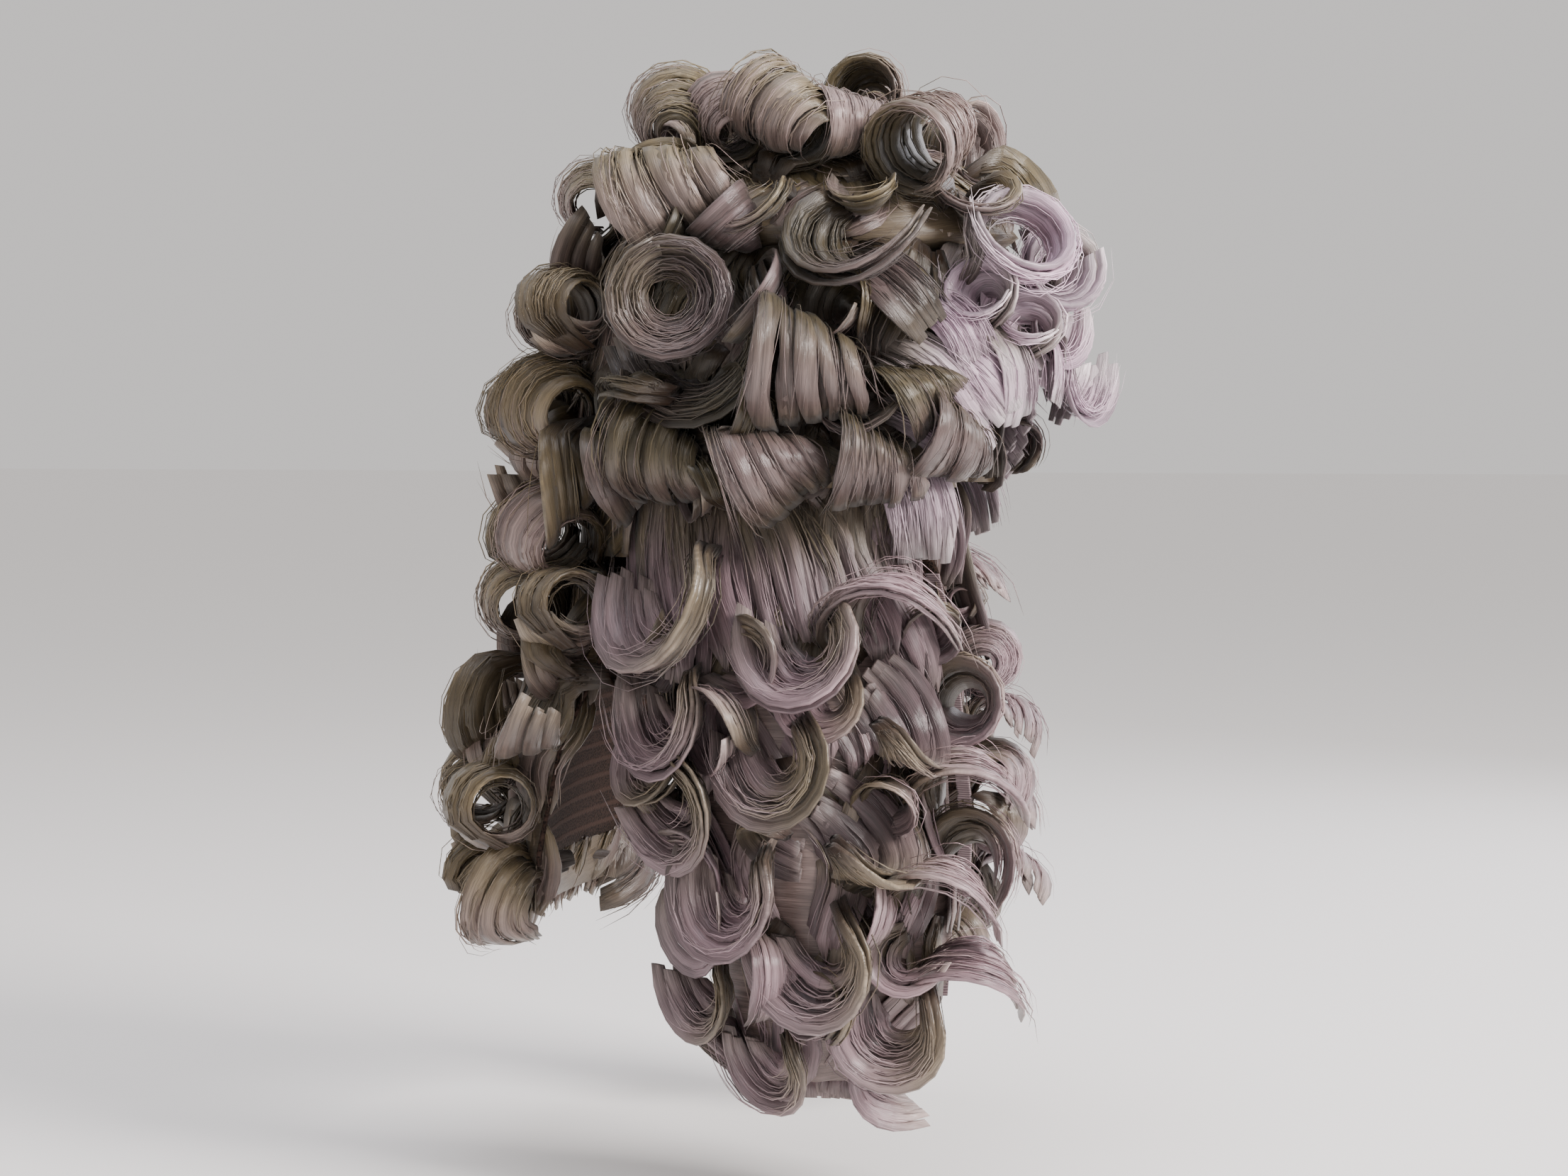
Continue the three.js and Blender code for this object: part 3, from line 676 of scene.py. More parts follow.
def falling_path(
    start: Sequence[float], end: Sequence[float], width: float, sway: float, phase: float
) -> Path:
    """Comb one lock from the head down over a lappet.

    Args:
        start: Bearing, level and depth on the head.
        end: Place across and down the lappet, and height over it.
        width: Its width in millimetres.
        sway: How far it waves to each side, in millimetres.
        phase: Where its wave starts, in radians.

    Returns:
        The run of the lock.
    """
    top, top_low, _, top_out = HEAD.axes(*start)
    low, low_low, _, low_out = LAPPET.axes(*end)
    share = np.linspace(0, 1, 30)[:, None]
    reach = 0.9 * np.linalg.norm(low - top)
    centre = (
        top * (2 * share**3 - 3 * share**2 + 1) + low * (3 * share**2 - 2 * share**3)
        + top_low * reach * (share**3 - 2 * share**2 + share) + low_low * reach * (share**3 - share**2)
    )
    normal = unit(top_out * (1 - share) + low_out * share)
    aside = unit(np.cross(np.gradient(centre, axis=0), normal))
    centre = centre + aside * sway * np.sin(2 * math.pi * 1.2 * share + phase)
    return laid_path(centre, normal, width)


# Hair as meshes


# Share of a lock where it is clear of the painted shade at its root
ROOT_ENDS = 0.24
# Share of a lock where its cut end begins to grey
CUT_STARTS = 0.86
# How far khaki and lilac change places along a lock
TINT_WAVE = 0.42
# Painted shade of the combed hair under the locks: its share of the way from the dark root colour to its full
# colour
BACKING_SHADE = 0.4
# Stations and radius in millimetres of a hair that stands off its lock
FLYAWAY_STATIONS = 10
FLYAWAY_RADIUS = 0.2


@dataclass
class Bundle:
    """Closed tubes of one shape: points of (tube, station, side), with UVs and tints to match."""

    points: Array
    uv: Array
    tint: Array


class HairBuilder:
    """Collects the bundles of one piece of hair and makes its mesh."""

    def __init__(self, seed: int, tint: Tint, shape: Shape) -> None:
        """Start an empty piece.

        Args:
            seed: Seed of its random strands.
            tint: Its middle tint.
            shape: Takes points to the side of the wig where they belong.
        """
        self.random = np.random.default_rng(seed)
        self.tint = tint
        self.shape = shape
        self.bundles: list[Bundle] = []

    def _tubes(
        self, path: Path, share: Array, place: tuple[Array, Array], half: tuple[Array, Array], sides: int,
        light: Array, mood: float,
    ) -> None:
        """Lay tubes along a path. All arrays but light are of (tube, station).

        Args:
            path: Run of the lock.
            share: Place of each tube's stations along the path.
            place: Place across the lock in half widths, and through it in half thicknesses.
            half: Half width and half thickness of each tube, in millimetres.
            sides: Number of sides of a tube.
            light: Lightness of each tube.
            mood: Where this lock stands between khaki and lilac, about 0.
        """
        centre, wide, thin, half_width, half_thick, rise, run = path.at(share)
        angle = (np.arange(sides) + 0.5) / sides * 2 * math.pi
        aside = (place[0] * half_width)[..., None] + half[0][..., None] * np.cos(angle)
        outward = (place[1] * half_thick)[..., None] + half[1][..., None] * np.sin(angle)
        points = centre[..., None, :] + wide[..., None, :] * aside[..., None]
        points = points + thin[..., None, :] * outward[..., None]
        offset = self.random.uniform(0, 40, 2)
        shift = self.random.uniform(0, 9, (len(share), 1, 1))
        along = run[..., None] + 0 * aside
        uv = np.stack([aside / UV_MM + offset[0] + shift, along / UV_MM + offset[1]], axis=-1)
        share = share[..., None] + 0 * aside
        # Red: painted shade at the root, fading to the dark root colour where the lock leaves the hair under
        # it
        root = 0.1 + 0.9 * np.clip(share / ROOT_ENDS, 0, 1) ** 0.8
        # Alpha: painted shade, darker on the tubes' inner side and where the lock lies close to the hair
        # under it, times the piece's painted light and shade and each tube's own tone
        tone_and_painted_shade = np.where(outward < 0, 0.62, 1.0) * (0.3 + 0.76 * rise)[..., None]
        tone_and_painted_shade = tone_and_painted_shade * light[:, None, None] * self.tint.light
        wave = np.sin(math.pi * (share * 1.7 + 0.25 + mood)) * TINT_WAVE
        cut = 1 - 0.8 * np.clip((share - CUT_STARTS) / 0.1, 0, 1)
        lilac = np.clip(self.tint.lilac - wave + 0.4 * mood, 0, 1) * cut
        khaki = np.clip(self.tint.khaki + wave - 0.35 * mood, 0, 1) * cut
        tint = np.stack([root, lilac, khaki, tone_and_painted_shade * (1.35 - 0.35 * cut)], axis=-1)
        self.bundles.append(Bundle(points, uv, tint))

    def _waves(self, share: Array, low: float, high: float) -> Array:
        """Give each tube a wave along its stations, of low to high turns."""
        turns = self.random.uniform(low, high, (len(share), 1))
        return np.sin(2 * math.pi * (share * turns + self.random.uniform(0, 1, (len(share), 1))))

    def lock(
        self, path: Path, clump_mm: float, strands: int, stations: int, loose: float = 1.0, fine: float = 0.4
    ) -> None:
        """Build one lock of clumps and strands.

        Args:
            path: Run of the lock.
            clump_mm: About how wide a clump is.
            strands: Number of fine strands over it.
            stations: Number of stations along a clump.
            loose: How far strands stray from the lock.
            fine: How much a clump narrows at its tip.
        """
        random = self.random
        mood = random.uniform(-0.32, 0.32)
        widest = path.half_width.max()
        count = max(4, round(2 * widest / clump_mm))
        ahead = np.linspace(0, 1, stations)[None, :]
        share = ahead * random.uniform(0.95, 1.0, (count, 1))
        place = np.linspace(-0.8, 0.8, count) + random.uniform(-1, 1, count) / count
        layer = random.uniform(-0.6, 0.6, count)
        wave = self._waves(share, 0.3, 0.9)
        taper = 1 - fine * np.clip((ahead - random.uniform(0.76, 0.92, (count, 1))) / 0.14, 0, 1) ** 1.5
        size = 2.1 * widest / count * random.uniform(0.75, 1.25, (count, 1)) * np.clip(0.6 + ahead * 4, 0, 1)
        thin = path.half_thick.max() * random.uniform(0.2, 0.36, (count, 1)) * np.clip(taper, 0.25, 1)
        drawn = 0.35 + 0.65 * np.clip(share / ROOT_ENDS, 0, 1) ** 0.7
        drawn = drawn - 0.22 * np.clip((share - 0.8) / 0.2, 0, 1)
        self._tubes(
            path, share, ((place[:, None] + 0.13 * wave) * drawn, layer[:, None] + 0.3 * wave),
            (size * taper, thin), 6, random.uniform(0.78, 1.08, count), mood,
        )
        aside = random.uniform(-1.08, 1.08, (strands, 1))
        outer = random.uniform(0.35, 0.95, (strands, 1))
        outer = np.where(random.random((strands, 1)) < 0.2, -outer, outer)
        ahead = np.linspace(0, 1, max(8, round(stations * 0.7)))[None, :]
        share = 0.04 + (random.uniform(0.84, 1.0, (strands, 1)) - 0.04) * ahead
        stray = loose * random.normal(0, 0.1, (strands, 1)) * ahead**1.5
        wave = self._waves(share, 0.5, 1.5)
        thin = np.clip((1.02 - ahead) / 0.15, 0.15, 1) * random.uniform(0.22, 0.5, (strands, 1))
        gather = 0.35 + 0.65 * np.clip(share / ROOT_ENDS, 0, 1) ** 0.7
        gather = gather - 0.3 * np.clip((ahead - 0.7) / 0.3, 0, 1) * random.uniform(-1, 1.4, (strands, 1))
        self._tubes(
            path, share, (aside * gather + 0.05 * wave + stray, outer + 0.3 * wave + 2.5 * stray),
            (thin, thin), 3, random.uniform(0.75, 1.35, strands), mood + random.uniform(-0.12, 0.12),
        )
        self.flyaways(path, max(1, strands // 6))

    def flyaways(self, path: Path, count: int) -> None:
        """Let this number of single hairs stand off a lock."""
        random = self.random
        ahead = np.linspace(0, 1, FLYAWAY_STATIONS)[None, :]
        start = random.uniform(0.05, 0.5, (count, 1))
        share = start + (random.uniform(0.8, 1.0, (count, 1)) - start) * ahead
        off = random.uniform(0.3, 2.3, (count, 1)) * np.sin(math.pi * ahead * 0.8)
        aside = random.uniform(-1, 1, (count, 1)) * (1 + 0.35 * ahead)
        thin = FLYAWAY_RADIUS * np.clip((1.02 - ahead) / 0.2, 0.2, 1) + 0 * share
        light = random.uniform(0.9, 1.5, count)
        self._tubes(path, share, (aside, 0.6 + off), (thin, thin), 3, light, 0.0)

    def backing(self, points: Array) -> None:
        """Add the combed hair under the locks, as points of (station, side) round a closed shell."""
        along, round_it = (
            np.linalg.norm(np.diff(points, axis=axis, prepend=first), axis=-1).cumsum(axis=axis)
            for axis, first in ((0, points[:1]), (1, points[:, :1]))
        )
        uv = np.stack([along, round_it], axis=-1) / UV_MM
        tint = np.ones((*points.shape[:2], 4))
        # Painted shade: the combed hair under the locks is mixed toward the dark root colour
        tint[..., :3] = BACKING_SHADE, self.tint.lilac, self.tint.khaki
        self.bundles.append(Bundle(points[None], uv[None], tint[None]))

    def _faces(self, grid: Array, flat: Array) -> tuple[list[Array], list[Array]]:
        """Join a bundle's vertices with faces that look outward.

        Args:
            grid: Vertex numbers of (tube, station, side).
            flat: Positions of all its vertices.

        Returns:
            Its arrays of four-sided faces, and its three-sided end caps.
        """
        stations, sides = grid.shape[1:]
        beside = np.roll(grid, -1, axis=2)
        walls = np.stack([grid[:, :-1], beside[:, :-1], beside[:, 1:], grid[:, 1:]], axis=-1).reshape(-1, 4)
        corners = flat[walls[: (stations - 1) * sides] - grid[0, 0, 0]]
        normal = np.cross(corners[:, 2] - corners[:, 0], corners[:, 3] - corners[:, 1])
        middle = flat[: stations * sides].mean(axis=0)
        turned = bool(np.sum(corners.mean(axis=1) * normal) < np.sum(middle * normal.sum(axis=0)))
        quads, caps = [walls[:, ::-1] if turned else walls], []
        for row, outward in ((0, turned), (-1, not turned)):
            ring = grid[:, row, :] if outward else grid[:, row, ::-1]
            if sides == 3:
                caps.append(ring)
                continue
            for k in range(sides // 2 - 1):
                m = sides - 1 - k
                quads.append(ring[:, [k, k + 1, m - 1, m]])
        return quads, caps

    def build(self, name: str, material: Material) -> Object:
        """Make the mesh object of all the bundles, with this name and material."""
        points, quads, caps, base = [], [], [np.zeros((0, 3), int)], 0
        for bundle in self.bundles:
            flat = (self.shape(bundle.points) * MM).reshape(-1, 3)
            grid = np.arange(len(flat)).reshape(bundle.points.shape[:3]) + base
            walls, ends = self._faces(grid, flat)
            points.append(flat)
            quads += walls
            caps += ends
            base += len(flat)
        walls, ends = np.concatenate(quads), np.concatenate(caps)
        corners = np.concatenate([walls.ravel(), ends.ravel()])
        starts = np.concatenate([np.arange(len(walls)) * 4, len(walls) * 4 + np.arange(len(ends)) * 3])
        mesh = bpy.data.meshes.new(name)
        mesh.vertices.add(base)
        mesh.vertices.foreach_set("co", np.concatenate(points).ravel())
        mesh.loops.add(len(corners))
        mesh.loops.foreach_set("vertex_index", corners)
        mesh.polygons.add(len(starts))
        mesh.polygons.foreach_set("loop_start", starts)
        mesh.polygons.foreach_set("use_smooth", np.ones(len(starts), bool))
        mesh.update(calc_edges=True)
        uvs = np.concatenate([bundle.uv.reshape(-1, 2) for bundle in self.bundles])
        mesh.uv_layers.new(name="hair").data.foreach_set("uv", uvs[corners].ravel())
        tints = np.concatenate([bundle.tint.reshape(-1, 4) for bundle in self.bundles])
        attribute = mesh.color_attributes.new(name="strand", type="FLOAT_COLOR", domain="POINT")
        attribute.data.foreach_set("color", tints.ravel())
        mesh.materials.append(material)
        piece = bpy.data.objects.new(name, mesh)
        bpy.context.scene.collection.objects.link(piece)
        LOG.info("%s: %d triangles", name, 2 * len(walls) + len(ends))
        return piece


def dress(piece: Object, node: str) -> Object:
    """Let a piece stand for its node on the wig's one body, in its finish, and return it."""
    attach(piece, "root")
    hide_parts(node)
    LOG.info("%s replaces %s", piece.name, node)
    return piece


# Where the curls stand


CROWN_CURLS = (
    Lock(Curl.ROLL, 153, 0.34, 0.98, 14),
    Lock(Curl.ROLL, 92, 0.34, 0.95, 40),
    Lock(Curl.ROLL, 45, 0.43, 1.0, -24),
    Lock(Curl.ROLL, 172, 0.58, 0.8, 8),
    Lock(Curl.FAN, 122, 0.56, 1.25, -24),
    Lock(Curl.ROLL, -146, 0.38, 0.96, 12),
    Lock(Curl.ROLL, -88, 0.36, 1.0, 40),
    Lock(Curl.ROLL, -52, 0.41, 0.92, -20),
    Lock(Curl.FAN, -120, 0.58, 1.2, -26),
    Lock(Curl.ROLL, 0, 0.12, 0.78, 0),
    Lock(Curl.ROLL, 124, 0.3, 0.76, 26),
    Lock(Curl.ROLL, 67, 0.34, 0.74, -6),
)
FRINGE_CURLS = (
    Lock(Curl.TUNNEL, 27, 0.68, 1.0, 8),
    Lock(Curl.RING, 3, 0.74, 1.05, -10, -1),
    Lock(Curl.TUNNEL, -25, 0.7, 0.94, -8),
    Lock(Curl.LOCK, 46, 0.94, 0.9, -28),
    Lock(Curl.LOCK, 33, 1.04, 1.0, -10),
    Lock(Curl.LOCK, 16, 1.02, 0.95, 12),
    Lock(Curl.HOOK, -4, 1.0, 0.95, 0),
    Lock(Curl.LOCK, -18, 1.04, 1.0, -8),
    Lock(Curl.HOOK, -33, 0.98, 1.0, 10, -1),
    Lock(Curl.LOCK, -46, 1.0, 0.95, 24),
    Lock(Curl.LOCK, 51, 1.14, 1.2, -46),
    Lock(Curl.LOCK, 40, 1.12, 1.1, -34),
    Lock(Curl.LOCK, 51, 1.32, 1.1, -58),
    Lock(Curl.LOCK, -50, 1.14, 1.2, 46),
    Lock(Curl.LOCK, -50, 1.32, 1.1, 56),
)
SIDE_CURLS = (
    Lock(Curl.EYE, 111, 0.84, 1.02, 0),
    Lock(Curl.CRADLE, 108, 0.9, 1.0, 20, -1),
    Lock(Curl.FAN, 84, 0.98, 1.32, 6),
    Lock(Curl.HOOK, 72, 0.68, 1.3, 30),
    Lock(Curl.LOCK, 62, 0.82, 1.15, -46),
    Lock(Curl.CUP, 114, 1.16, 1.2, -70, -1),
    Lock(Curl.FAN, 60, 1.12, 0.9, -22),
    Lock(Curl.FAN, 116, 1.42, 1.12, 8),
    Lock(Curl.FAN, 91, 1.48, 1.1, -14),
    Lock(Curl.FAN, 70, 1.46, 0.98, 4),
    Lock(Curl.FAN, 52, 1.34, 0.9, 12),
)
CHEEK_CURLS = (Lock(Curl.LOCK, 57, 1.76, 1.2, -16),)
LAPPET_CURLS = (
    Lock(Curl.HOOK, 138, 0.1, 1.6, 0, -1),
    Lock(Curl.HOOK, 84, 0.17, 1.25, 10, -1),
    Lock(Curl.CUP, 52, 0.12, 1.35, -48),
    Lock(Curl.RING, 12, 0.29, 0.95, 0),
    Lock(Curl.HOOK, 140, 0.3, 1.2, 14, -1),
    Lock(Curl.CUP, 56, 0.32, 1.15, 160, -1),
    Lock(Curl.HOOK, 98, 0.38, 1.15, 8, -1),
    Lock(Curl.CUP, 28, 0.44, 1.2, -62),
    Lock(Curl.HOOK, 142, 0.47, 1.2, 0, -1),
    Lock(Curl.CUP, 78, 0.53, 1.25, 150, -1),
    Lock(Curl.CUP, 14, 0.57, 1.0, -14),
    Lock(Curl.HOOK, 124, 0.63, 1.15, 20, -1),
    Lock(Curl.CUP, 46, 0.64, 1.2, -50),
    Lock(Curl.HOOK, 92, 0.74, 1.2, 0, -1),
    Lock(Curl.HOOK, 148, 0.82, 0.95, 0, -1),
    Lock(Curl.CUP, 26, 0.8, 1.2, -66),
    Lock(Curl.HOOK, 64, 0.87, 1.15, 20, -1),
    Lock(Curl.HOOK, 116, 0.95, 0.95, 0, -1),
)
# Rows of curls: down, first and last place across, count, kind, size
BACK_ROWS = (
    (0.86, 142, 218, 3, Curl.COIL, 1.2),
    (1.2, 146, 224, 4, Curl.COIL, 1.35),
    (1.54, 142, 218, 3, Curl.HOOK, 1.3),
    (1.88, 146, 224, 4, Curl.COIL, 1.3),
)
CURTAIN_ROWS = (
    (0.28, 24, 156, 4, Curl.COIL, 1.2),
    (0.51, 12, 168, 4, Curl.HOOK, 1.3),
    (0.74, 28, 152, 4, Curl.COIL, 1.15),
    (0.96, 14, 166, 4, Curl.CUP, 1.15),
)
# How far the curls of a row turn to and fro, in degrees
ROW_TURN = 16.0
# Least distance between a small curl and any other, and how often a place for one is tried
SMALL_GAP_MM = 25
SMALL_TRIES = 600


def row_curls(rows: Sequence[tuple]) -> list[Lock]:
    """Turn rows of curls into single curls, turned to and fro."""
    curls = []
    for r, (down, first, last, count, kind, size) in enumerate(rows):
        for k, across in enumerate(np.linspace(first, last, count)):
            sign = 1 if (r + k) % 2 else -1
            curls.append(Lock(kind, float(across), down, size, ROW_TURN * sign, sign))
    return curls


def lumps(across: Array, down: Array) -> Array:
    """Give a gentle unevenness of combed hair at places on a surface, in millimetres."""
    return 1.2 * np.sin(across * 0.21 + 2.0 * down) + 0.8 * np.sin(across * 0.47 - 5.0 * down)


# Pieces of hair


@dataclass
class HairPiece:
    """One piece of hair: its node, its surface, its curls, and the combed and small locks round them.

    across and down bound it on its surface, depth is that of the hair under the curls, combed is the
    number of combed locks across and down, and small the number of small curls between the tabled ones.
    """

    node: str
    slot: str
    surface: Surface
    curls: Sequence[Lock]
    across: tuple[float, float]
    down: tuple[float, float]
    depth: float
    tint: Tint
    seed: int
    combed: tuple[int, int] = (0, 0)
    comb_mm: float = 0.0
    small: int = 0
    shape: Shape = Hand.right.side
    strands: int = 38

    def shell(self) -> Array | None:
        """Give the backing as points of (station, side) round a closed shell, or None."""
        return None

    def comb(self, builder: HairBuilder) -> None:
        """Lay combed locks over the backing, in rows that overlap."""
        columns, rows = self.combed
        random = builder.random
        span = (self.down[1] - self.down[0]) / rows
        pitch = (self.across[1] - self.across[0]) / columns
        for row in range(rows):
            for column in range(columns):
                across = self.across[0] + (column + 0.5 + random.uniform(-0.15, 0.15)) * pitch
                start = self.down[0] + span * (row - 0.02)
                end = min(start + span * random.uniform(1.1, 1.35), self.down[1])
                drift = random.uniform(-0.35, 0.35) * pitch
                sunk = 8.0 if row == rows - 1 else random.uniform(0, 3)
                path = combed_path(
                    self.surface, (across, start, self.depth - 4.0), (across + drift, end, self.depth - sunk),
                    self.comb_mm * random.uniform(0.9, 1.25), 0.3 * pitch, random.uniform(*PHASES),
                )
                builder.lock(path, 6.0, 9, 10, 0.5, 0.93)

    def spread(self, builder: HairBuilder) -> list[Lock]:
        """Find places for small curls between the tabled ones, with the builder's random numbers."""
        random = builder.random
        places = [self.surface.point(lock.across, lock.down, self.depth) for lock in self.curls]
        found: list[Lock] = []
        for _ in range(SMALL_TRIES):
            if len(found) == self.small:
                break
            across = random.uniform(self.across[0] + 4, self.across[1] - 4)
            down = random.uniform(*self.down)
            place = self.surface.point(across, down, self.depth)
            if min(np.linalg.norm(place - other) for other in places) < SMALL_GAP_MM:
                continue
            kind = (Curl.CUP, Curl.RING, Curl.HOOK)[random.integers(3)]
            size, turn = random.uniform(0.7, 0.95), random.uniform(-50, 50)
            found.append(Lock(kind, across, down, size, turn, 1 if random.random() < 0.3 else -1))
            places.append(place)
        return found

    def wind(self, builder: HairBuilder, lock: Lock, sunk: float, strands: int) -> None:
        """Wind one curl.

        Args:
            builder: Builder that takes it.
            lock: The curl.
            sunk: How far it is sunk into the hair, in millimetres.
            strands: Number of its fine strands.
        """
        random = builder.random
        stray = (random.uniform(-9, 9), random.uniform(-20, 25), random.uniform(-7, 7))
        stations = 5 + round(abs(lock.kind.value.sweep) / 24)
        builder.lock(curl_path(self.surface, self.depth - sunk, lock, stray), 5.6, strands, stations)

    def build(self, material: Material) -> Object:
        """Build the piece of this material, riding on the wig."""
        builder = HairBuilder(self.seed, self.tint, self.shape)
        shell = self.shell()
        if shell is not None:
            builder.backing(shell)
            self.comb(builder)
        for lock in self.curls:
            self.wind(builder, lock, 0.0, self.strands)
        for lock in self.spread(builder):
            self.wind(builder, lock, 3.0, self.strands // 3)
        return dress(builder.build(self.node + "_dressed", material), self.node)


@dataclass
class HeadLayer(HairPiece):
    """Hair over one part of the head."""

    inner: float = SKIN

    def comb(self, builder: HairBuilder) -> None:
        """Lay the combed locks, and those down both side edges, so that the backing's wall isn't seen."""
        super().comb(builder)
        start, end = self.down[0] + 0.03, self.down[1] - 0.02
        for across in self.across:
            for sunk in (5.0, 12.0):
                height = self.depth - sunk
                phase = builder.random.uniform(*PHASES)
                ends = (across, start, height), (across, end, height)
                builder.lock(combed_path(self.surface, *ends, 20.0, 0.8, phase), 5.0, 9, 14, 0.8)

    def shell(self) -> Array:
        """Give the backing as a curved slab over the head."""
        columns = np.linspace(*self.across, 25)
        levels = np.linspace(*self.down, 14)
        inset = 0.35 / HEAD.rise
        levels[0] += inset
        levels[-1] -= inset
        grid, rows = np.meshgrid(columns, levels, indexing="ij")
        outer = HEAD.point(grid, rows, self.depth - 5 + lumps(grid, rows))
        inner = HEAD.point(grid, rows, np.full_like(grid, self.inner))[:, ::-1]
        return np.concatenate([outer, inner], axis=1)


@dataclass
class StraightLayer(HeadLayer):
    """Smooth hair that falls from the head over a lappet."""

    falls: int = 14

    def comb(self, builder: HairBuilder) -> None:
        """Lay the combed locks, and the long ones over the lappet."""
        super().comb(builder)
        random = builder.random
        first, reach = self.across[0] + 4, self.across[1] - self.across[0] + 12
        for k in range(self.falls):
            share = (k + 0.5) / self.falls
            start = (first + reach * share, random.uniform(1.5, 1.66), 15.0)
            end = (20 + 158 * share + random.uniform(-6, 6), random.uniform(0.16, 0.3), random.uniform(2, 7))
            width, sway = random.uniform(17, 24), random.uniform(1, 3)
            path = falling_path(start, end, width, sway, random.uniform(*PHASES))
            builder.lock(path, 5.0, 14, 12, 0.6, 0.93)


@dataclass
class CrownLayer(HairPiece):
    """Hair over the top of the head, all round."""

    def shell(self) -> Array:
        """Give the backing as a dome with its crown drawn together."""
        columns = np.linspace(0, 360, 48, endpoint=False)
        levels = np.linspace(0.02, self.down[1], 14)
        grid, rows = np.meshgrid(columns, levels, indexing="xy")
        outer = HEAD.point(grid, rows, self.depth - 5 + 0 * grid)
        inner = HEAD.point(grid, rows, np.full_like(grid, SKIN))[::-1]
        return np.concatenate([outer, inner], axis=0)


@dataclass
class HangingLayer(HairPiece):
    """Hair of a lappet or of the curtain. Its surface includes its depth, so its own is 0."""

    linings: int = 7

    def comb(self, builder: HairBuilder) -> None:
        """Lay the combed locks, and those on the inner side below the panel."""
        super().comb(builder)
        random = builder.random
        drops = np.linspace(0.87, 1.04, 10)
        for share in np.linspace(0.08, 0.92, self.linings):
            sway = share + 0.02 * np.sin(drops * 30 + random.uniform(*PHASES))
            centre = self.surface.on_line(sway, drops, np.linspace(-1, 7, 10) + random.uniform(-1, 3))
            inward = centre - self.surface.on_line(sway, drops, np.full(10, 30.0))
            builder.lock(laid_path(centre, inward, random.uniform(18, 26)), 5.0, 10, 8, 0.6)

    def shell(self) -> Array:
        """Give the backing as a tapering body with a flat back."""
        rows, grid = np.meshgrid(np.linspace(*self.down, 16), np.linspace(0, 180, 15), indexing="ij")
        outer = self.surface.point(grid, rows, lumps(grid * 0.6, rows) - 4.0)
        share = (1 - np.cos(np.radians(grid))) / 2
        inner = self.surface.on_line(share, rows, np.zeros_like(rows))[:, ::-1]
        return np.concatenate([outer, inner], axis=1)


def hair_pieces() -> list[HairPiece]:
    """List the wig's pieces of hair, from the crown down."""
    # The last number of each tint is painted light and shade: the front and cheek locks lighter where the
    # window light falls, the sides darker in shade
    crown, front, side = Tint(0.0, 0.74, 0.7), Tint(0.34, 0.02, 1.32), Tint(0.04, 0.86, 0.35)
    back, low = Tint(-0.1, 0.84, 0.62), Tint(0.27, 0.36, 0.77)
    straight, cheek = Tint(0.26, 0.28, 0.7), Tint(0.1, 0.4, 1.1)
    pieces: list[HairPiece] = [
        CrownLayer("crown_hair", "hair_crown", HEAD, CROWN_CURLS, (-180, 180), (0.08, 0.61), 32, crown, 11,
                   (17, 2), 26, 15, strands=52),
        HeadLayer("fringe_hair", "hair_front", HEAD, FRINGE_CURLS, (-45, 45), (0.62, 1.02), 20, front, 12,
                  (7, 2), 22, 5, inner=SKIN + TAPE_WALL + GAP),
        HeadLayer("back_hair", "hair_back", HEAD, row_curls(BACK_ROWS), (135, 225), (0.62, 1.98), 27,
                  back, 13, (8, 4), 22, 9, strands=34),
        HangingLayer("curtain_hair", "hair_back", CURTAIN, row_curls(CURTAIN_ROWS), (0, 180), (0.2, 1.0), 0,
                     back, 74, (8, 3), 24, 9, strands=34, linings=9),
    ]
    for k, hand in enumerate(Hand):
        pieces += [
            HeadLayer(f"{hand.name}_side_hair", "hair_side", HEAD, SIDE_CURLS, (45, 135), (0.62, 1.6), 23,
                      side, 61 + k, (7, 3), 24, 9, hand.side),
            StraightLayer(f"{hand.name}_straight_hair", "hair_straight", HEAD, (), (60, 120), (1.56, 2.22),
                          19, straight, 31 + k, (13, 1), 15, 0, hand.side),
            HairPiece(f"{hand.name}_cheek_lock", "hair_front", HEAD, CHEEK_CURLS, (0, 0), (0, 0), 9,
                      cheek, 41 + k, shape=hand.side, strands=60),
            HangingLayer(f"{hand.name}_lappet_hair", "hair_lappet", LAPPET, LAPPET_CURLS, (0, 180),
                         (0.08, 1.0), 0, low, 71 + k, (7, 3), 22, 17, hand.lappet),
        ]
    return pieces


def hair_materials() -> dict[str, Material]:
    """Build one hair material for each of the record's hair slots."""
    finishes = {
        "hair_crown": HairFinish("kanekalon_crown", silver="#ae9f92"),
        # The front's paler silver and lilac are painted light, for the window light on the fringe
        "hair_front": HairFinish("kanekalon_front", silver="#c6bbbe", lilac="#c2a2b8"),
        "hair_side": HairFinish("kanekalon_side", silver="#ae9f90"),
        "hair_straight": HairFinish("kanekalon_straight", silver="#a0918e", roughness=0.42),
        "hair_back": HairFinish("kanekalon_back", silver="#ad9d8c", khaki="#8b7a5c"),
        "hair_lappet": HairFinish("kanekalon_lappet", silver="#b9a7a3"),
    }
    return {slot: finish.build() for slot, finish in finishes.items()}


# Net and tape


def primitive(name: str) -> tuple[Object, Array]:
    """Name the primitive that was just added, and return it with its points."""
    piece = bpy.context.object
    piece.name = piece.data.name = name
    points = np.zeros(len(piece.data.vertices) * 3)
    piece.data.vertices.foreach_get("co", points)
    return piece, points.reshape(-1, 3)


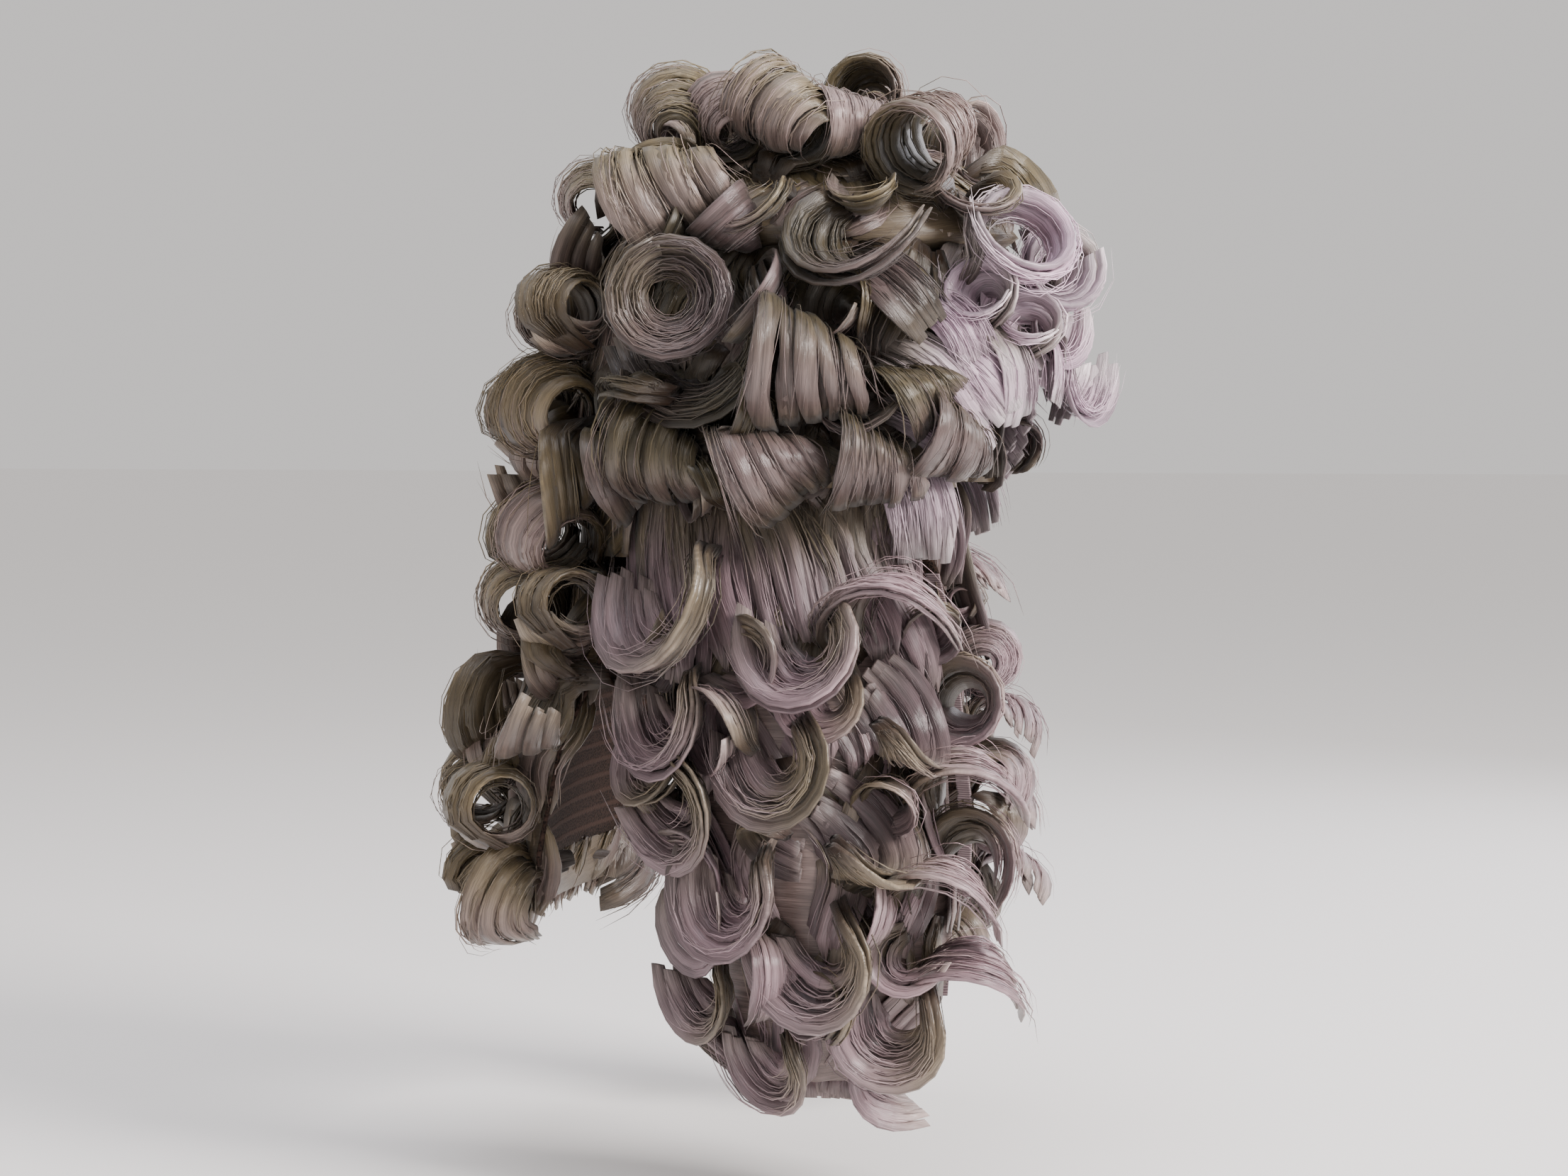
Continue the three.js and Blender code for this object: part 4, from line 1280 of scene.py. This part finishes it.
def wall_up(piece: Object, points: Array, wall: float, even: bool, material: Material) -> None:
    """Lay a primitive on its surface and give it its wall.

    Args:
        piece: The primitive.
        points: Where its vertices go, in millimetres.
        wall: Wall in millimetres; a negative one grows to the other side.
        even: Whether the wall keeps its thickness at bends.
        material: Its material.
    """
    mesh = piece.data
    mesh.vertices.foreach_set("co", (points * MM).ravel())
    mesh.polygons.foreach_set("use_smooth", np.ones(len(mesh.polygons), bool))
    mesh.update()
    solid = piece.modifiers.new("wall", "SOLIDIFY")
    solid.thickness = abs(wall) * MM
    solid.offset = 1 if wall > 0 else -1
    solid.use_even_offset = even
    bpy.ops.object.modifier_apply(modifier=solid.name)
    mesh.materials.append(material)


def mapped_grid(
    name: str, columns: int, rows: int, place: Callable[[Array, Array], Array], wall: float,
    size_mm: tuple[float, float], material: Material,
) -> Object:
    """Model a sheet from a grid primitive, laid on a surface and given its wall.

    Args:
        name: Name of the object.
        columns: Number of divisions along x.
        rows: Number of divisions along y.
        place: Gives points in millimetres for two arrays of shares, 0 to 1 along x and y.
        wall: Wall in millimetres; a negative one grows to the other side.
        size_mm: Real size along x and y, for the UV map.
        material: Its material.

    Returns:
        The object.
    """
    bpy.ops.object.select_all(action="DESELECT")
    bpy.ops.mesh.primitive_grid_add(x_subdivisions=columns, y_subdivisions=rows, size=1, location=(0, 0, 0))
    piece, flat = primitive(name)
    flat = flat + 0.5
    layer = piece.data.uv_layers.active
    layer.name = "hair"
    corners = np.zeros(len(piece.data.loops), int)
    piece.data.loops.foreach_get("vertex_index", corners)
    layer.data.foreach_set("uv", (flat[corners, :2] * np.array(size_mm) / UV_MM).ravel())
    wall_up(piece, place(flat[:, 0], flat[:, 1]), wall, True, material)
    return piece


def cap_edge(bearing: Array) -> Array:
    """Give the level of the cap's edge at bearings from the face."""
    return np.interp(np.abs(bearing), *CAP_EDGE)


@dataclass
class NetFoundation:
    """The cap and the panels that the hair is sewn to."""

    net: Material

    def cap(self) -> Object:
        """Model the cap from a sphere: cut at its widest line, drawn down over the head, given a wall."""
        bpy.ops.object.select_all(action="DESELECT")
        bpy.ops.mesh.primitive_uv_sphere_add(segments=72, ring_count=48, radius=1, location=(0, 0, 0))
        bpy.ops.object.mode_set(mode="EDIT")
        bpy.ops.mesh.select_all(action="SELECT")
        bpy.ops.mesh.bisect(plane_co=(0, 0, 0.0001), plane_no=(0, 0, 1), clear_inner=True)
        bpy.ops.object.mode_set(mode="OBJECT")
        piece, ball = primitive("cap_net")
        bearing = np.degrees(np.arctan2(-ball[:, 0], -ball[:, 1]))
        share = np.arccos(np.clip(ball[:, 2], 0, 1)) / (math.pi / 2)
        points = HEAD.point(bearing, share * cap_edge(bearing), np.zeros_like(share))
        wall_up(piece, points, CAP_WALL, False, self.net)
        return dress(piece, "cap")

    def lappet_panel(self, hand: Hand) -> Object:
        """Model the panel of this side's lappet."""

        def place(across: Array, drop: Array) -> Array:
            """Lay the panel behind the lappet's carrying line."""
            return hand.lappet(LAPPET.on_line(across, drop * 0.85, np.full_like(across, -GAP - PANEL_WALL)))

        size = (112, 197) if hand is Hand.left else (130, 224)
        wall = PANEL_WALL * hand.value[0]
        panel = mapped_grid(f"{hand.name}_lappet_net", 24, 36, place, wall, size, self.net)
        return dress(panel, f"{hand.name}_lappet_panel")

    def back_panel(self) -> Object:
        """Model the curtain's panel."""

        def place(across: Array, drop: Array) -> Array:
            """Lay the panel behind the curtain's carrying line."""
            return CURTAIN.on_line(across, drop * 0.88, np.full_like(across, -GAP - PANEL_WALL))

        panel = mapped_grid("back_net", 30, 32, place, PANEL_WALL, (170, 190), self.net)
        return dress(panel, "back_panel")


@dataclass
class Bindings:
    """The tapes folded over the net's edges."""

    tape: Material
    wall: float = 0.8

    @staticmethod
    def fold(share: Array, wall: float) -> tuple[Array, Array]:
        """Give the fold's profile.

        Args:
            share: Shares along the profile, from its outer hem round the edge to its inner hem.
            wall: Thickness of what it is folded over.

        Returns:
            How far onto the piece, and how far out of it, in millimetres.
        """
        gap = GAP * 0.6
        run = [0.0, 0.42, 0.46, 0.54, 0.58, 1.0]
        onto = np.interp(share, run, [TAPE_WIDTH, 0.0, -gap, -gap, 0.0, TAPE_WIDTH])
        return onto, np.interp(share, run, [wall + gap, wall + gap, wall, 0.0, -gap, -gap])

    def cap_binding(self) -> Object:
        """Model the tape on the cap's front edge."""

        def place(across: Array, along: Array) -> Array:
            """Fold the tape over the cap's edge."""
            onto, out = self.fold(across, CAP_WALL)
            bearing = -45 + 90 * along
            return HEAD.point(bearing, cap_edge(bearing) - onto / HEAD.rise, out)

        tape = mapped_grid("cap_tape", 24, 72, place, self.wall, (20, 150), self.tape)
        return dress(tape, "cap_binding")

    def lappet_binding(self, hand: Hand) -> Object:
        """Model the tape on the front edge of this side's lappet panel."""

        def place(across: Array, along: Array) -> Array:
            """Fold the tape over the panel's edge."""
            onto, out = self.fold(across, PANEL_WALL)
            drop = 0.08 + 0.77 * along
            first, last, *_ = LAPPET.line(drop)
            share = onto / np.linalg.norm(last - first, axis=-1)
            return hand.lappet(LAPPET.on_line(share, drop, out - GAP - PANEL_WALL))

        wall = self.wall * hand.value[0]
        tape = mapped_grid(f"{hand.name}_lappet_tape", 24, 90, place, wall, (20, 202), self.tape)
        return dress(tape, f"{hand.name}_lappet_binding")


# The studio


@dataclass
class Studio:
    """Floor, lights and camera."""

    azimuth: float = -78.0
    elevation: float = 3.0
    distance: float = 1.75
    points_per_mm: float = 2.7
    origin_pixel: tuple[float, float] = (1155.0, 273.0)
    sensor_mm: float = 36.0
    # Middle of the wig's height, and how far below it the floor lies, in metres
    middle: float = -0.18
    drop: float = 0.05

    def floor(self) -> None:
        """Model the floor under the wig."""
        bpy.ops.object.select_all(action="DESELECT")
        bpy.ops.mesh.primitive_plane_add(size=40, location=(0, 0, 0))
        board = bpy.context.object
        board.name = "floor"
        board.data.transform(Matrix.Translation((0, 0, CAD_BOX[0][2] - self.drop)))
        board.data.materials.append(BackdropFinish().build())

    def lamp(self, name: str, place: Sequence[float], size: float, power: float, tone: str) -> None:
        """Add a soft square light aimed at the wig.

        Args:
            name: Its name.
            place: Where it hangs, in metres.
            size: Its side.
            power: Its power in watts.
            tone: Its colour.
        """
        data = bpy.data.lights.new(name, "AREA")
        data.size, data.energy, data.color = size, power, colour(tone)[:3]
        lamp = bpy.data.objects.new(name, data)
        lamp.location = place
        aim = Vector((0, 0, self.middle)) - Vector(place)
        lamp.rotation_mode = "QUATERNION"
        lamp.rotation_quaternion = aim.to_track_quat("-Z", "Y")
        bpy.context.scene.collection.objects.link(lamp)

    def lights(self) -> None:
        """Light the wig: a window light from the front and above, and pale light all round."""
        self.lamp("window", (-0.75, -1.8, 1.0), 0.85, 96, "#fff8f4")
        self.lamp("sky", (-0.5, 0.0, 1.9), 1.2, 22, "#f4f4ff")
        self.lamp("far_side", (1.4, -0.9, 0.5), 1.0, 14, "#f8f6ff")
        world = bpy.data.worlds.new("room")
        world.use_nodes = True
        air = world.node_tree.nodes["Background"].inputs
        air["Color"].default_value = colour("#f0ecea")
        air["Strength"].default_value = 0.9
        bpy.context.scene.world = world

    def camera(self) -> None:
        """Set the camera at the photograph's angle and framing."""
        turn, tilt = math.radians(self.azimuth), math.radians(self.elevation)
        back = Vector((math.sin(turn) * math.cos(tilt), -math.cos(turn) * math.cos(tilt), math.sin(tilt)))
        right = Vector((math.cos(turn), math.sin(turn), 0))
        aside = (IMAGE_WIDTH / 2 - self.origin_pixel[0]) / self.points_per_mm * MM
        low = (self.origin_pixel[1] - IMAGE_HEIGHT / 2) / self.points_per_mm * MM
        data = bpy.data.cameras.new("camera")
        camera = bpy.data.objects.new("camera", data)
        bpy.context.scene.collection.objects.link(camera)
        data.sensor_width = self.sensor_mm
        data.lens = self.sensor_mm * self.distance / (IMAGE_WIDTH / self.points_per_mm * MM)
        data.clip_start, data.clip_end = 0.05, 60
        camera.location = right * aside + Vector((0, 0, low)) + back * self.distance
        camera.rotation_mode = "QUATERNION"
        camera.rotation_quaternion = (-back).to_track_quat("-Z", "Y")
        bpy.context.scene.camera = camera


def main() -> None:
    """Build the wig and its studio."""
    logging.basicConfig(level=logging.INFO, format="%(name)s: %(message)s")
    studio = Studio()
    studio.camera()
    studio.floor()
    studio.lights()
    foundation = NetFoundation(NetFinish().build())
    foundation.cap()
    foundation.back_panel()
    bindings = Bindings(TapeFinish().build())
    bindings.cap_binding()
    for hand in Hand:
        foundation.lappet_panel(hand)
        bindings.lappet_binding(hand)
    materials = hair_materials()
    for piece in hair_pieces():
        piece.build(materials[piece.slot])


if __name__ == "__main__":
    main()
